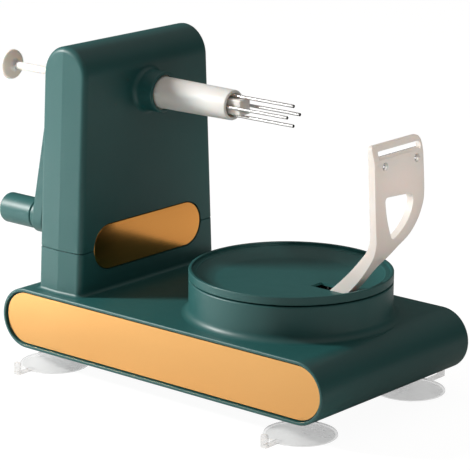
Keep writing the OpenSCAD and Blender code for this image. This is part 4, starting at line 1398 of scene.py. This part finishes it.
@dataclass
class Studio:
    """The camera at the photograph's angle, the lamps, the floor and the white surroundings.

    Attributes:
        target: The point that the camera looks at, in metres.
        azimuth: Angle of the camera round the object, in degrees.
        elevation: Angle of the camera above level, in degrees.
        distance: Distance of the camera from the target, in metres.
        roll: Turn of the camera about its own axis, in degrees.
        focus: Focal length, in pixels of the picture.
        centre: The picture's principal point, in pixels.
        sky_low: Light that the world sheds on the object from the horizon.
        sky_high: Light that it sheds on the object from straight above.
        floor_half: Half the floor's side, in metres.
        floor_colour: Colour of the floor under the lamps.
        floor_glow: Strength of the plain white that the eye sees on the floor.
        floor_plain: Share of that plain white, so that only the rest can take a shadow.
    """

    target: tuple[float, float, float] = (0.014871, -0.001798, 0.080379)
    azimuth: float = 40.662
    elevation: float = 15.2064
    distance: float = 1.368353
    roll: float = 0.2797
    focus: float = 2468.674
    centre: tuple[float, float] = (210.0981, 234.1881)
    sky_low: Colour = (0.042, 0.040, 0.038)
    sky_high: Colour = (0.48, 0.46, 0.44)
    floor_half: float = 6.0
    floor_colour: Colour = (0.9, 0.9, 0.89)
    floor_glow: float = 1.11
    floor_plain: float = 0.86

    def camera(self) -> None:
        """Set up the camera."""
        turn, rise, tilt = (math.radians(a) for a in (self.azimuth, self.elevation, self.roll))
        back = Vector((math.sin(turn) * math.cos(rise), -math.cos(turn) * math.cos(rise), math.sin(rise)))
        right = Vector((math.cos(turn), math.sin(turn), 0))
        up = back.cross(right)
        swing, lift = math.cos(tilt), math.sin(tilt)
        right, up = swing * right + lift * up, swing * up - lift * right
        lens = bpy.data.cameras.new("camera")
        lens.sensor_width = SENSOR
        lens.lens = self.focus / IMAGE_SIDE * SENSOR
        lens.shift_x = 0.5 - self.centre[0] / IMAGE_SIDE
        lens.shift_y = self.centre[1] / IMAGE_SIDE - 0.5
        lens.clip_end = 50.0
        made = stand("camera", lens)
        place = Matrix((right, up, back)).transposed().to_4x4()
        place.translation = Vector(self.target) + back * self.distance
        made.matrix_world = place
        bpy.context.scene.camera = made

    def seen(self, graph: Graph) -> Wire:
        """Give one for rays that show the surroundings to the eye, straight or through glass."""
        straight = graph.node("LightPath", out="Is Camera Ray")
        return (straight + graph.node("LightPath", out="Is Transmission Ray")) > 0.5

    def surroundings(self) -> None:
        """Make the white world."""
        world = bpy.data.worlds.new("white")
        graph = Graph(world)
        way = graph.node("TexCoord", out="Generated")
        rise = graph.node("SeparateXYZ", {}, {"Vector": way}, "Z")
        share = graph.node("MapRange", {}, {"Value": rise, "From Min": 0.25})
        shed = graph.mix(share, self.sky_low, self.sky_high)
        shown = graph.mix(self.seen(graph), shed, (1, 1, 1))
        light = graph.node("Background", {}, {"Color": shown, "Strength": 1.0})
        graph.node("OutputWorld", {}, {"Surface": light})
        bpy.context.scene.world = world

    def floor(self) -> None:
        """Lay the pale floor."""
        work = bmesh.new()
        bmesh.ops.create_grid(work, x_segments=1, y_segments=1, size=self.floor_half)
        mesh = bpy.data.meshes.new("floor")
        work.to_mesh(mesh)
        work.free()
        made = stand("floor", mesh)
        pale = bpy.data.materials.new("pale_floor")
        graph = Graph(pale)
        lit = graph.node("BsdfDiffuse", {}, {"Color": (*self.floor_colour, 1)})
        plain = graph.node("Emission", {}, {"Color": (1, 1, 1, 1), "Strength": self.floor_glow})
        share = self.seen(graph) * self.floor_plain
        graph.surface(graph.node("MixShader", {}, {0: share, 1: lit, 2: plain}))
        mesh.materials.append(pale)

    def build(self) -> None:
        """Set up the whole studio."""
        self.camera()
        self.surroundings()
        self.floor()
        for lamp in LAMPS:
            lamp.hang()
        bpy.context.scene.view_settings.view_transform = "Standard"


def main() -> None:
    """Build the studio and every piece, and dress the solids that still show."""
    logging.basicConfig(level=logging.INFO, format="%(name)s: %(message)s")
    Studio().build()
    dresser = Dresser()
    tower = Tower()
    BaseCase().dress(dresser, tower)
    tower.dress(dresser)
    Spindle().dress(dresser)
    Turntable().dress(dresser)
    dresser.solids()
    tines = frame["nodes"]["tines"].data.materials
    tines[0] = TINE_STEEL.material()
    log.info("%d new pieces", dresser.count)


if __name__ == "__main__":
    main()
